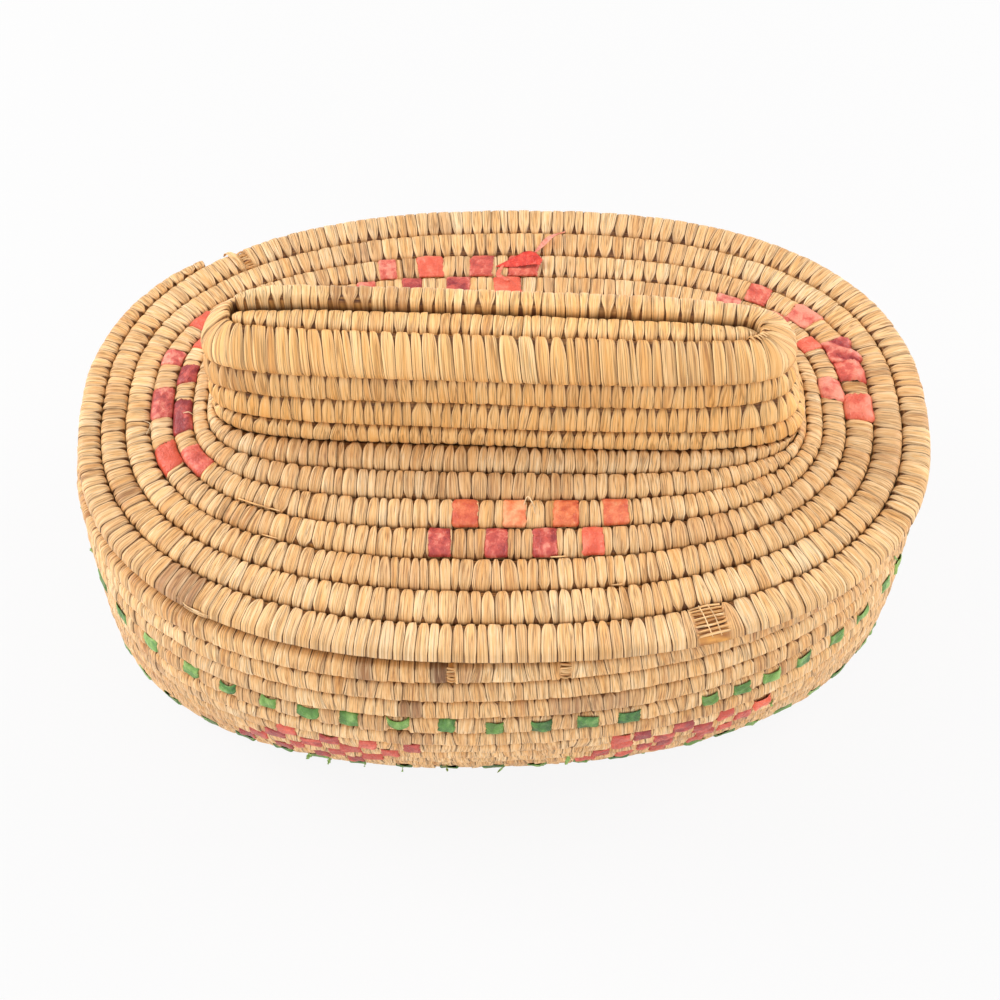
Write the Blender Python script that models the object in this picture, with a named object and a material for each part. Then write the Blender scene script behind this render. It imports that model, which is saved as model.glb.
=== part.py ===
"""Oval lidded basket of coiled grass with a raised knob and strips of dyed gut.

Two coils make it. The basket's coil starts as a straight core in the middle of the
base, spirals out over the base, round the heel and up the wall to the rim. The lid's
coil starts as the core on top of the knob, spirals down the knob's wall and out over
the lid to its edge. Each coil is cut into its rounds, one solid for each turn, and
each round lies against the next with a hair of clearance. A flange coil under the lid
drops inside the rim, and thin bands of gut lie on the coils where checkers show.

Units are metres and +Z is up. The origin is under the middle of the basket, on the
surface that it stands on, and +X runs along the length.
"""

import math

import bpy
import numpy as np

# Clearances
GAP = 0.0003
FLANGE_PLAY = 0.0025

# Straight steps in one turn of a coil
STEPS = 30

# The basket's coil: its rows, its thickness and how far each row stands proud
WALL_PITCH = 0.009
WALL_THICKNESS = 0.0085
WALL_BULGE = 0.0012

# The basket's form, on the valley lines between rows
BELLY_HALF_LENGTH = 0.1482
BELLY_HALF_WIDTH = 0.1042
OVAL_POWER = 2.30
OVAL_SKEW = math.radians(2.6)
CORE_HALF_WIDTH = 0.0050
RIM_END_ANGLE = math.radians(60.0)
# How far the rim falls over its turn, and how far down the second turn starts, in rows
RIM_FALL = 0.2
SECOND_TURN = 0.5
# How the wall leans in, in degrees, at counts of rows down from the rim: it leans out
# to the belly, then in, and lies flat where the floor starts
LEAN_ROWS = (0.0, 1.5, 3.0, 4.0, 5.0, 7.0, 9.0, 10.5, 13.5)
LEANS = (-13.8, -13.8, -5.0, -5.0, 13.8, 17.6, 22.5, 29.7, 90.0)
# The ends of the oval stay upright for longer, then catch up with the sides
END_LATENESS = 3.7

# The lid's coil on the nearly flat part
LID_THICKNESS = 0.0074
LID_BULGE = 0.0019
LID_HALF_LENGTH = 0.1524
LID_HALF_WIDTH = 0.1061
# The pitch of the rows along the length and across it, with how it changes inwards
LID_PITCH_END = 0.00805
LID_PITCH_END_GAIN = 0.00077
LID_PITCH_END_EASE = 0.000147
LID_PITCH_SIDE = 0.0134
LID_PITCH_SIDE_EASE = 0.00029
LID_RISE = 0.00093
LID_RISE_GAIN = 0.000105
LID_POWER = 2.378
LID_POWER_GAIN = 0.003
# Where the middle of the lid's rows lies, and how far it moves for each turn inwards
LID_SHIFT_X = 0.0038
LID_DRIFT_X = -0.00074
LID_SHIFT_Y = 0.0028
LID_DRIFT_Y = -0.00017
LID_END_ANGLE = math.radians(138.0)
LID_TAIL_TURNS = 0.10
TAIL_TIP = 0.30
# How far short of each core its coil's innermost round stops, in turns
BASKET_CORE_CLEAR = 0.30
KNOB_CORE_CLEAR = 0.06

# The knob, counted in turns of the lid's coil from the lid's edge inwards
KNOB_FOOT_TURN = 7.36
KNOB_FOOT_HALF_WIDTH = 0.0210
KNOB_FOOT_HALF_LENGTH = 0.1010
KNOB_ROW_RISE_LOW = 0.0075
KNOB_ROW_RISE_MID = 0.0107
KNOB_ROW_RISE_TOP = 0.0110
KNOB_TOP_RISE = 0.0095
KNOB_LEAN = 0.0020
KNOB_TOP_BULGE = 0.0050
KNOB_POWER = 4.2
KNOB_SKEW = math.radians(-2.5)
KNOB_FOOT_SHIFT = 0.0032
KNOB_TOP_SHIFT = -0.0020
KNOB_SHIFT_Y = -0.0005
KNOB_CORE_HALF_WIDTH = 0.0050
KNOB_CORE_END_ROUND = 0.0095

# The flange coil under the lid
FLANGE_WIDTH = 0.0075
FLANGE_DEPTH = 0.0095

# Gut strips: how thick the gut is and how much of a row's width it covers
GUT_THICKNESS = 0.0005
GUT_SHARE = 0.52

# Where the two crest points of a row lie, as shares of the row's width
CREST_LOW = 0.2
CREST_HIGH = 0.8
# How far a free edge is rounded off, as a share of the coil's thickness there
EDGE_ROUND = 0.35

STRAW = (0.640, 0.440, 0.220, 1.0)
GOLDEN_STRAW = (0.610, 0.385, 0.160, 1.0)
ROSE_GUT = (0.560, 0.060, 0.075, 1.0)
ORANGE_GUT = (0.690, 0.110, 0.050, 1.0)
GREEN_GUT = (0.060, 0.260, 0.080, 1.0)


def wall_profile():
    """The wall's section: runs down from the rim, and the lean, outreach and drop there."""
    runs = np.linspace(0.0, WALL_PITCH * LEAN_ROWS[-1], 541)
    leans = np.radians(np.interp(runs, WALL_PITCH * np.array(LEAN_ROWS), LEANS))
    middle = (leans[1:] + leans[:-1]) / 2
    step = runs[1] - runs[0]
    reach = np.concatenate([[0.0], np.cumsum(-np.sin(middle) * step)])
    drop = np.concatenate([[0.0], np.cumsum(np.cos(middle) * step)])
    return runs, leans, reach, drop


RUNS, RUN_LEANS, REACH, DROPS = wall_profile()
INSETS = np.max(REACH) - REACH
HEEL_INSET = INSETS[-1]
FLOOR_HALF_WIDTH = BELLY_HALF_WIDTH - HEEL_INSET
CORE_RUN = RUNS[-1] + FLOOR_HALF_WIDTH - CORE_HALF_WIDTH
BASKET_CORE_TURN = CORE_RUN / WALL_PITCH + 1 - SECOND_TURN


def basket_line(turns):
    """The basket's outer valley line, at counts of turns back from the rim's end.

    The rim's own turn is nearly level, so its coil is thin at the end and thick behind
    it. The lines below fall by one row for each turn.
    """
    rows = np.where(turns < 1.0, RIM_FALL * turns**2, turns - 1 + SECOND_TURN)
    run = WALL_PITCH * rows
    run = np.minimum(run, CORE_RUN)
    lean = np.interp(run, RUNS, RUN_LEANS)
    inset = np.interp(run, RUNS, INSETS) + np.maximum(run - RUNS[-1], 0.0)
    late = np.minimum(inset / HEEL_INSET, 1.0) ** END_LATENESS
    end_rate = np.where(inset < HEEL_INSET, (1 + END_LATENESS) * late, 1.0)
    return {
        "half_length": BELLY_HALF_LENGTH - inset * late,
        "half_width": BELLY_HALF_WIDTH - inset,
        "height": WALL_BULGE + DROPS[-1] - np.interp(run, RUNS, DROPS),
        "power": OVAL_POWER + 0.0 * turns,
        "facing": math.pi / 2 + lean,
        "end_facing": math.pi / 2 + np.arctan2(end_rate * np.sin(lean), np.cos(lean)),
        "shift_x": 0.0 * turns,
        "shift_y": 0.0 * turns,
        "skew": OVAL_SKEW + 0.0 * turns,
        "bulge": WALL_BULGE + 0.0 * turns,
        "depth": WALL_THICKNESS - 2 * WALL_BULGE + 0.0 * turns,
    }


LID_DEPTH = LID_THICKNESS - 2 * LID_BULGE


def lid_rise(turns):
    """How far the lid's valley line has risen above the lid's edge."""
    return LID_RISE * turns + LID_RISE_GAIN * turns**2


def lid_half_length(turns):
    """Half the length of the lid's rows, before they near the knob."""
    eased = LID_PITCH_END * turns + LID_PITCH_END_GAIN * turns**2
    return LID_HALF_LENGTH - eased + LID_PITCH_END_EASE * turns**3


def lid_half_width(turns):
    """Half the width of the lid's rows, before they near the knob."""
    return LID_HALF_WIDTH - LID_PITCH_SIDE * turns + LID_PITCH_SIDE_EASE * turns**2


# Turns at which the knob's form changes. The top ring's lower valley is held level
# for half a turn, then steps up to the core in the quarter turn at the back left.
KNOB_TURNS = KNOB_FOOT_TURN + np.array([0.0, 1.0, 2.0, 2.5, 3.0, 3.5, 3.76, 5.0])
KNOB_CORE_TURN = KNOB_TURNS[6]
# Turns at which the lid's surface starts to turn, stands up as the knob, and lies flat
FACING_TURNS = KNOB_FOOT_TURN + np.array([-0.7, 0.0, 1.0, 3.0, 3.4, 3.62])
FOOT_HEIGHT = lid_rise(KNOB_FOOT_TURN)
LOW_HEIGHT = FOOT_HEIGHT + KNOB_ROW_RISE_LOW
MID_HEIGHT = LOW_HEIGHT + KNOB_ROW_RISE_MID
RING_HEIGHT = MID_HEIGHT + KNOB_ROW_RISE_TOP
HALF_UP_HEIGHT = MID_HEIGHT + 0.55 * KNOB_ROW_RISE_TOP
CORE_HEIGHT = RING_HEIGHT + KNOB_TOP_RISE
CORE_HALF_LENGTH = KNOB_FOOT_HALF_LENGTH - 2 * KNOB_LEAN - KNOB_CORE_END_ROUND
RING_HALF_WIDTH = KNOB_FOOT_HALF_WIDTH - 3 * KNOB_LEAN
RING_HALF_LENGTH = KNOB_FOOT_HALF_LENGTH - 1.75 * KNOB_LEAN


def knob_blend(turns, foot, ring, core):
    """A size of the knob between its foot, its top ring and its core."""
    share = np.array([0.0, 0.33, 0.67, 0.84, 1.0, 1.0])
    values = np.concatenate([foot + (ring - foot) * share, [core, core]])
    return np.interp(turns, KNOB_TURNS, values)


def lid_line(turns):
    """The lid's outer valley line, at counts of turns back from the end at its edge."""
    flat = turns < KNOB_FOOT_TURN
    # The last flat turns lean towards the foot's own size, so that the two meet.
    nearing = np.clip(turns / KNOB_FOOT_TURN, 0.0, 1.0) ** 3
    end = lid_half_length(turns)
    end = end + (KNOB_FOOT_HALF_LENGTH - lid_half_length(KNOB_FOOT_TURN)) * nearing
    side = lid_half_width(turns)
    side = side + (KNOB_FOOT_HALF_WIDTH - lid_half_width(KNOB_FOOT_TURN)) * nearing
    heights = [FOOT_HEIGHT, LOW_HEIGHT, MID_HEIGHT, HALF_UP_HEIGHT]
    heights += [RING_HEIGHT, RING_HEIGHT, CORE_HEIGHT, CORE_HEIGHT]
    facing = np.interp(turns, FACING_TURNS, np.radians([0.0, 45.0, 84.0, 84.0, 72.0, 0.0]))
    knob_end = knob_blend(turns, KNOB_FOOT_HALF_LENGTH, RING_HALF_LENGTH, CORE_HALF_LENGTH)
    knob_side = knob_blend(turns, KNOB_FOOT_HALF_WIDTH, RING_HALF_WIDTH, KNOB_CORE_HALF_WIDTH)
    flat_power = LID_POWER + LID_POWER_GAIN * turns**2
    flat_power = flat_power + (KNOB_POWER - flat_power) * nearing
    drift_x = LID_SHIFT_X + LID_DRIFT_X * turns
    drift_y = LID_SHIFT_Y + LID_DRIFT_Y * turns
    knob_shift = np.interp(
        turns, [KNOB_FOOT_TURN, KNOB_CORE_TURN], [KNOB_FOOT_SHIFT, KNOB_TOP_SHIFT]
    )
    ringing = np.interp(turns, KNOB_TURNS[3:5], [0.0, 1.0])
    return {
        "half_length": np.where(flat, end, knob_end),
        "half_width": np.where(flat, side, knob_side),
        "height": LID_LEVEL + np.where(flat, lid_rise(turns), np.interp(turns, KNOB_TURNS, heights)),
        "power": np.where(flat, flat_power, KNOB_POWER),
        "facing": facing,
        "end_facing": facing,
        "shift_x": drift_x + (knob_shift - drift_x) * nearing,
        "shift_y": drift_y + (KNOB_SHIFT_Y - drift_y) * nearing,
        "skew": KNOB_SKEW * nearing,
        "bulge": LID_BULGE + (KNOB_TOP_BULGE - LID_BULGE) * ringing,
        "depth": LID_DEPTH + (LID_THICKNESS - LID_BULGE - LID_DEPTH) * ringing,
    }


# Height of the lid's edge, set below once both coils are known
LID_LEVEL = 0.0


def line_points(line, turns, end_angle, sense):
    """Points on a valley line and the outward directions there, as arrays of vectors."""
    at = line(turns)
    angle = end_angle + sense * 2 * math.pi * turns
    cos, sin = np.cos(angle), np.sin(angle)
    power = at["power"]
    x = at["half_length"] * np.sign(cos) * np.abs(cos) ** (2 / power)
    y = at["half_width"] * np.sign(sin) * np.abs(sin) ** (2 / power)
    out_x = np.sign(cos) * np.abs(cos) ** (2 - 2 / power) / at["half_length"]
    out_y = np.sign(sin) * np.abs(sin) ** (2 - 2 / power) / at["half_width"]
    size = np.hypot(out_x, out_y)
    out_x, out_y = out_x / size, out_y / size
    turn_cos, turn_sin = np.cos(at["skew"]), np.sin(at["skew"])
    points = np.stack(
        [
            at["shift_x"] + x * turn_cos - y * turn_sin,
            at["shift_y"] + x * turn_sin + y * turn_cos,
            at["height"],
        ],
        axis=-1,
    )
    facing = at["facing"] + (at["end_facing"] - at["facing"]) * cos**2
    level = np.sin(facing)
    outward = np.stack(
        [
            level * (out_x * turn_cos - out_y * turn_sin),
            level * (out_x * turn_sin + out_y * turn_cos),
            np.cos(facing),
        ],
        axis=-1,
    )
    return points, outward, at


def unit(vectors):
    """The same vectors at length one."""
    return vectors / np.linalg.norm(vectors, axis=-1, keepdims=True)


class Coil:
    """A bundle wound in a spiral, cut into rounds."""

    def __init__(self, line, end_angle, sense, tail_turns):
        self.line = line
        self.end_angle = end_angle
        self.sense = sense
        self.tail_turns = tail_turns

    def edges(self, turns):
        """Both edge lines of the coil at these turns, thinned to a tail at its end."""
        low, low_out, at = line_points(self.line, turns, self.end_angle, self.sense)
        high, high_out, at_high = line_points(self.line, turns + 1.0, self.end_angle, self.sense)
        full = np.clip(turns / self.tail_turns, 0.0, 1.0)
        thin = (1 - TAIL_TIP) * (1 - full)[:, None]
        low_in = -at["depth"][:, None] * low_out
        high_in = -at_high["depth"][:, None] * high_out
        middle_out = unit(low_out + high_out)
        return low + (high - low) * thin, low_in, high, high_in, middle_out, at["bulge"][:, None]

    def sections(self, turns):
        """The coil's cross-section at each of these turns, as an array of outlines.

        Each outline runs over the outer side from the edge nearer the coil's end, then
        back along the inner side.
        """
        low, low_in, high, high_in, middle_out, bulge = self.edges(turns)
        along = unit(high - low)
        low = low + along * GAP / 2
        high = high - along * GAP / 2
        low_in = low + low_in
        high_in = high + high_in
        inner_bulge = min(LID_BULGE, WALL_BULGE) if self.sense < 0 else LID_BULGE
        outline = [
            low,
            low + (high - low) * CREST_LOW + middle_out * bulge,
            low + (high - low) * CREST_HIGH + middle_out * bulge,
            high,
            high_in,
            (low_in + high_in) / 2 - middle_out * inner_bulge,
            low_in,
        ]
        return np.stack(outline, axis=1)

    def stations(self, start, stop):
        """Turns from start to stop: both ends, and every whole step between them."""
        first = math.floor(start * STEPS + 1e-9) + 1
        last = math.ceil(stop * STEPS - 1e-9) - 1
        inner = np.arange(first, last + 1) / STEPS
        return np.concatenate([[start], inner, [stop]])

    def faceted(self, turns):
        """Sections of the coil as it is built: straight between whole steps."""
        below = np.floor(turns * STEPS + 1e-9) / STEPS
        share = ((turns - below) * STEPS)[:, None, None]
        return (1 - share) * self.sections(below) + share * self.sections(below + 1 / STEPS)

    def turns_of_gap(self, turn):
        """Half a gap, as a count of turns at this place on the coil."""
        ends = np.array([math.floor(turn * STEPS), math.floor(turn * STEPS) + 1]) / STEPS
        low, _, high, _, _, _ = self.edges(ends)
        slowest = min(np.linalg.norm(low[1] - low[0]), np.linalg.norm(high[1] - high[0]))
        return GAP / 2 / (slowest * STEPS)

    def round_of_coil(self, start, stop):
        """Sections of one round, with half a gap left at each end."""
        first = start + self.turns_of_gap(start)
        last = stop - self.turns_of_gap(stop - 1e-6)
        sections = self.faceted(self.stations(first, last))
        return self.rounded_edge(sections) if start < 1.0 else sections

    def rounded_edge(self, sections):
        """The sections of the last round, whose free edge is rounded by one more point."""
        low, high, low_in = sections[:, 0], sections[:, 3], sections[:, 6]
        ease = unit(high - low) * np.linalg.norm(low - low_in, axis=1, keepdims=True) * EDGE_ROUND
        eased = [low + ease] + [sections[:, side] for side in range(1, 6)]
        return np.stack(eased + [low_in + ease, (low + low_in) / 2], axis=1)

    def band(self, start, stop):
        """Sections of a gut band lying on the coil's crest between two counts of turns."""
        sections = self.faceted(self.stations(start, stop))
        near, far = sections[:, 1], sections[:, 2]
        ahead = np.gradient((near + far) / 2, axis=0)
        lift = unit(np.cross(far - near, ahead)) * -self.sense
        lift = np.where((np.sum(lift * (near - sections[:, 5]), axis=1) < 0)[:, None], -lift, lift)
        inset = (far - near) * (0.5 - GUT_SHARE / (CREST_HIGH - CREST_LOW) / 2)
        low, high = near + inset, far - inset
        under, over = lift * GAP, lift * (GAP + GUT_THICKNESS)
        return np.stack([low + under, low + over, high + over, high + under], axis=1)


def add_node(name, points, faces, colour, roughness):
    """Makes one named solid with a finish of its own."""
    mesh = bpy.data.meshes.new(name)
    mesh.from_pydata([tuple(p) for p in points], [], faces)
    mesh.validate()
    mesh.shade_smooth()
    mesh.set_sharp_from_angle(angle=math.radians(62))
    material = bpy.data.materials.new(name + "_finish")
    material.use_nodes = True
    shader = material.node_tree.nodes["Principled BSDF"]
    shader.inputs["Base Color"].default_value = colour
    shader.inputs["Roughness"].default_value = roughness
    shader.inputs["Metallic"].default_value = 0.0
    mesh.materials.append(material)
    node = bpy.data.objects.new(name, mesh)
    bpy.context.scene.collection.objects.link(node)
    return node


def face_out(mesh_points, faces):
    """The faces, all turned over if the solid that they close is inside out."""
    points = np.asarray(mesh_points)
    volume = 0.0
    for face in faces:
        for second, third in zip(face[1:-1], face[2:]):
            volume += np.dot(points[face[0]], np.cross(points[second], points[third]))
    return faces if volume > 0 else [tuple(reversed(face)) for face in faces]


def add_tube(name, sections, colour, roughness, closed=False):
    """Skins a row of equal outlines and closes it at both ends, or into a ring."""
    count, sides = sections.shape[:2]
    points = sections.reshape(-1, 3)
    faces = []
    for ring in range(count if closed else count - 1):
        here, there = ring * sides, (ring + 1) % count * sides
        for side in range(sides):
            beside = (side + 1) % sides
            corners = (here + side, here + beside, there + beside, there + side)
            # Neighbouring rounds split the twisted strip between them the same way.
            if side == sides - 1:
                faces += [(corners[0], corners[1], corners[3]), (corners[1], corners[2], corners[3])]
            else:
                faces += [(corners[0], corners[1], corners[2]), (corners[0], corners[2], corners[3])]
    if not closed:
        # Both caps fan out from the same corner, so that two facing ends stay parallel.
        hub, last = min(4, sides - 1), (count - 1) * sides
        for step in range(1, sides - 1):
            second, third = (hub + step) % sides, (hub + step + 1) % sides
            faces.append((hub, third, second))
            faces.append((last + hub, last + second, last + third))
    return add_node(name, points, face_out(points, faces), colour, roughness)


def add_core(name, coil, core_turn, thickness, colour):
    """The straight start of a coil: a pad inside its innermost line."""
    turns = (math.ceil(core_turn * STEPS) + np.arange(STEPS)) / STEPS
    outline, _, at = line_points(coil.line, turns, coil.end_angle, coil.sense)
    middle = outline.mean(axis=0)
    ahead = np.roll(outline, -1, axis=0) - np.roll(outline, 1, axis=0)
    inward = unit(np.cross(np.array([0.0, 0.0, 1.0]), ahead)) * coil.sense
    outline = outline + inward * GAP / 2
    up = np.array([0.0, 0.0, 1.0]) * coil.sense
    bulge = at["bulge"][0] if coil.sense < 0 else LID_BULGE
    inset = (middle - outline) * np.array([0.06, 0.45, 0.0])
    rings = [
        outline + inset + up * bulge,
        outline,
        outline - up * (thickness - 2 * bulge),
        outline + inset - up * (thickness - bulge),
    ]
    points = np.concatenate(rings)
    faces = [tuple(range(STEPS))]
    for ring in range(len(rings) - 1):
        for step in range(STEPS):
            after = (step + 1) % STEPS
            here = ring * STEPS
            there = here + STEPS
            faces.append((here + step, there + step, there + after, here + after))
    faces.append(tuple(range(len(points) - 1, len(points) - STEPS - 1, -1)))
    return add_node(name, points, face_out(points, faces), colour, 0.8)


def lid_turns_at(x, y):
    """How many turns in from the lid's edge a place on the lid lies."""
    turns = np.linspace(0.0, KNOB_FOOT_TURN, 800)
    at = lid_line(turns)
    across = np.abs((x[:, None] - at["shift_x"]) / at["half_length"]) ** at["power"]
    across += np.abs((y[:, None] - at["shift_y"]) / at["half_width"]) ** at["power"]
    return turns[np.argmin(np.abs(across - 1.0), axis=1)]


def seat_lid(basket, lid):
    """The height at which the lid's outer round comes down to a gap above the rim."""
    angles = np.linspace(0.0, 1.0, STEPS * 4, endpoint=False) * 2 * math.pi
    rim_turns = (basket.end_angle - angles) / (2 * math.pi) % 1.0
    lid_turns = (angles - lid.end_angle) / (2 * math.pi) % 1.0
    rim_top = basket_line(rim_turns)["height"]
    middle = (lid_rise(lid_turns) + lid_rise(lid_turns + 1.0)) / 2
    return float(np.max(rim_top - middle + LID_DEPTH + LID_BULGE)) + GAP


def add_flange(colour):
    """The coil sewn under the lid, just inside the rim."""
    angle = LID_END_ANGLE + (np.arange(STEPS) + 0.5) / STEPS * 2 * math.pi
    inner_wall = WALL_THICKNESS - WALL_BULGE + FLANGE_PLAY
    rim = basket_line(np.array([0.0]))
    length = rim["half_length"][0] - inner_wall
    width = rim["half_width"][0] - inner_wall
    cos, sin = np.cos(angle), np.sin(angle)
    turn_cos, turn_sin = math.cos(OVAL_SKEW), math.sin(OVAL_SKEW)
    round_off = 2 / OVAL_POWER

    def oval(inset):
        x = (length - inset) * np.sign(cos) * np.abs(cos) ** round_off
        y = (width - inset) * np.sign(sin) * np.abs(sin) ** round_off
        return x * turn_cos - y * turn_sin, x * turn_sin + y * turn_cos

    outer_x, outer_y = oval(0.0)
    top = LID_LEVEL + lid_rise(lid_turns_at(outer_x, outer_y)) - LID_DEPTH - LID_BULGE - GAP
    corners = [
        (0.18, 0.0),
        (0.0, 0.3),
        (0.0, 0.7),
        (0.18, 1.0),
        (0.82, 1.0),
        (1.0, 0.7),
        (1.0, 0.3),
        (0.82, 0.0),
    ]
    outline = []
    for across, down in corners:
        x, y = oval(across * FLANGE_WIDTH)
        outline.append(np.stack([x, y, top - down * FLANGE_DEPTH], axis=-1))
    return add_tube("lid_flange", np.stack(outline, axis=1), colour, 0.8, closed=True)


BASKET = Coil(basket_line, RIM_END_ANGLE, -1, 0.06)
LID = Coil(lid_line, LID_END_ANGLE, 1, LID_TAIL_TURNS)
LID_LEVEL = seat_lid(BASKET, LID)

BASKET_ROUNDS = math.floor(BASKET_CORE_TURN) - 1
WALL_ROUNDS = 12
FLAT_LID_ROUNDS = math.floor(KNOB_FOOT_TURN)

# Gut on the lid: the side, then the turns between which its band runs on the outer
# of the two rows. The inner row's band lies about one turn further in.
LID_GUT = [
    ("right", 2.605, 2.755),
    ("back", 2.855, 2.915),
    ("left", 3.020, 3.180),
    ("front", 3.345, 3.400),
]
INNER_GUT_TURN = 1.01

# Gut on the basket: the corner, then the share of a turn where its top row's band
# starts and ends. Each lower row of the checker is shifted a little.
BASKET_GUT = [
    ("front_left", 0.440, 0.503, 0.007),
    ("front_right", 0.318, 0.390, 0.003),
    ("back_right", 0.915, 0.978, 0.007),
    ("back_left", 0.818, 0.890, 0.003),
]
UPPER_GREEN_ROW = 3
LOWER_GREEN_ROW = 9
RED_ROWS = (5, 6, 7, 8)


def clear_scene():
    """Removes whatever the scene holds."""
    for thing in list(bpy.data.objects):
        bpy.data.objects.remove(thing, do_unlink=True)


def add_basket():
    """The basket's rounds, from the rim down, and its core."""
    for number in range(BASKET_ROUNDS):
        if number < WALL_ROUNDS:
            name = f"wall_round_{number + 1:02d}"
        else:
            name = f"base_round_{number - WALL_ROUNDS + 1:02d}"
        last = number == BASKET_ROUNDS - 1
        stop = BASKET_CORE_TURN - BASKET_CORE_CLEAR if last else number + 1
        add_tube(name, BASKET.round_of_coil(number, stop), STRAW, 0.8)
    add_core("base_core", BASKET, BASKET_CORE_TURN, WALL_THICKNESS, STRAW)


def add_lid():
    """The lid's rounds, from its edge in, then the knob's, its core and the flange."""
    for number in range(FLAT_LID_ROUNDS):
        add_tube(f"lid_round_{number + 1:02d}", LID.round_of_coil(number, number + 1), STRAW, 0.8)
    for number in range(3):
        start = FLAT_LID_ROUNDS + number
        name = f"knob_wall_round_{3 - number}"
        add_tube(name, LID.round_of_coil(start, start + 1), GOLDEN_STRAW, 0.8)
    start = FLAT_LID_ROUNDS + 3
    add_tube("knob_top_round", LID.round_of_coil(start, KNOB_CORE_TURN - KNOB_CORE_CLEAR), GOLDEN_STRAW, 0.8)
    add_core("knob_core", LID, KNOB_CORE_TURN, LID_THICKNESS, GOLDEN_STRAW)
    add_flange(STRAW)


def add_gut():
    """The gut bands that make the checkers."""
    for side, start, stop in LID_GUT:
        inner = LID.band(start + INNER_GUT_TURN, stop + INNER_GUT_TURN)
        inner_colour = ORANGE_GUT if side == "front" else ROSE_GUT
        add_tube(f"gut_lid_{side}_outer", LID.band(start, stop), ROSE_GUT, 0.4)
        add_tube(f"gut_lid_{side}_inner", inner, inner_colour, 0.4)
    for corner, start, stop, shift in BASKET_GUT:
        for order, row in enumerate(RED_ROWS):
            sections = BASKET.band(row + start + shift * order, row + stop + shift * order)
            add_tube(f"gut_wall_{corner}_{order + 1}", sections, ROSE_GUT, 0.4)
    for name, row in (("upper", UPPER_GREEN_ROW), ("lower", LOWER_GREEN_ROW)):
        sections = BASKET.band(row + 0.01, row + 0.99)
        add_tube(f"gut_wall_green_{name}", sections, GREEN_GUT, 0.4)


def main():
    """Builds the whole basket."""
    clear_scene()
    add_basket()
    add_lid()
    add_gut()


main()
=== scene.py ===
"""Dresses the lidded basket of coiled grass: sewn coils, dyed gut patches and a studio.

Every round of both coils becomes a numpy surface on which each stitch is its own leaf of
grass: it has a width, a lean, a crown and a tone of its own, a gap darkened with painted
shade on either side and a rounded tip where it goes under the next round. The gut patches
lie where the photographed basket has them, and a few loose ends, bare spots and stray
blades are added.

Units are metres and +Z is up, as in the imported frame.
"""

import logging
import math
from abc import ABC, abstractmethod
from dataclasses import dataclass, field
from enum import Enum
from functools import cache

import bpy
import numpy as np
from bpy.types import ID, Material, Mesh, Node, NodeSocket, NodeTree, Object
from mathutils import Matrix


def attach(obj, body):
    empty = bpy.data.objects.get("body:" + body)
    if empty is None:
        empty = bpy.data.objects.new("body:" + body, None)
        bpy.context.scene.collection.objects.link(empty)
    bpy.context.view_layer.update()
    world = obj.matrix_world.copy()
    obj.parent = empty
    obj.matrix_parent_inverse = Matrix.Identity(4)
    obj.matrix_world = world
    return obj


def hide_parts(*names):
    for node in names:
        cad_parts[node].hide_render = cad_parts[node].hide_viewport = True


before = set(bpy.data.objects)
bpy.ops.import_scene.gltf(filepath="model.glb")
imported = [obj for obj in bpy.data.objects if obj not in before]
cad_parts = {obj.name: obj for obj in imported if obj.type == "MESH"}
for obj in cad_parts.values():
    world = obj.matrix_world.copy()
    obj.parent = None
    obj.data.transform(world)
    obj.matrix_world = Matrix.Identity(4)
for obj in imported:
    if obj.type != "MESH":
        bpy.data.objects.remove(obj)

LOG = logging.getLogger("basket")
MM = 0.001

Point = tuple[float, float, float]
Colour = tuple[float, float, float, float]
Spans = tuple[tuple[float, float], ...]
Curve = tuple[tuple[float, ...], tuple[float, ...]]


class Body(Enum):
    """The two bodies of the frame that pieces ride on."""

    BASKET = "basket"
    LID = "lid"


class Slot(Enum):
    """The record's material slots."""

    STRAW = "straw"
    GOLDEN = "golden_straw"
    ROSE = "rose_gut"
    ORANGE = "orange_gut"
    GREEN = "green_gut"


def unit(vectors: np.ndarray) -> np.ndarray:
    """Scales vectors to length one."""
    return vectors / np.maximum(np.linalg.norm(vectors, axis=-1, keepdims=True), 1e-12)


def graded_turns(start: float, stop: float, crossing: float) -> np.ndarray:
    """Turns from start to stop, packed closely where the coil crosses its oval's axes.

    Each quarter turn is filled with v**3 / (v**3 + (1 - v)**3) for even steps of v.

    Args:
        start: the first turn.
        stop: the last turn.
        crossing: a turn at which the coil crosses an axis.

    Returns:
        The turns, in order.
    """
    even = np.linspace(0.0, 1.0, 160, endpoint=False)
    packed = even**3 / (even**3 + (1 - even) ** 3)
    quarters = np.arange(math.floor((start - crossing) * 4), math.ceil((stop - crossing) * 4))
    turns = ((quarters[:, None] + packed[None, :]) / 4 + crossing).ravel()
    inside = turns[(turns > start + 1e-6) & (turns < stop - 1e-6)]
    return np.concatenate([[start], inside, [stop]])


@dataclass(frozen=True)
class Drift:
    """A value that changes smoothly and by chance along a line.

    Args:
        size: how far it mostly goes to either side of 0.
        reach: how far apart two places have to be for values that don't depend on each other.
    """

    size: float
    reach: float

    def values(self, places: np.ndarray, rng: np.random.Generator) -> np.ndarray:
        """Its values at some places along the line."""
        start = float(places.min())
        knots = np.arange(int((float(places.max()) - start) / self.reach) + 3)
        values = rng.normal(0.0, 0.5, len(knots))
        at = (places - start) / self.reach
        below = np.floor(at).astype(int)
        share = at - below
        share = share * share * (3 - 2 * share)
        return self.size * (values[below] * (1 - share) + values[below + 1] * share)


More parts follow.
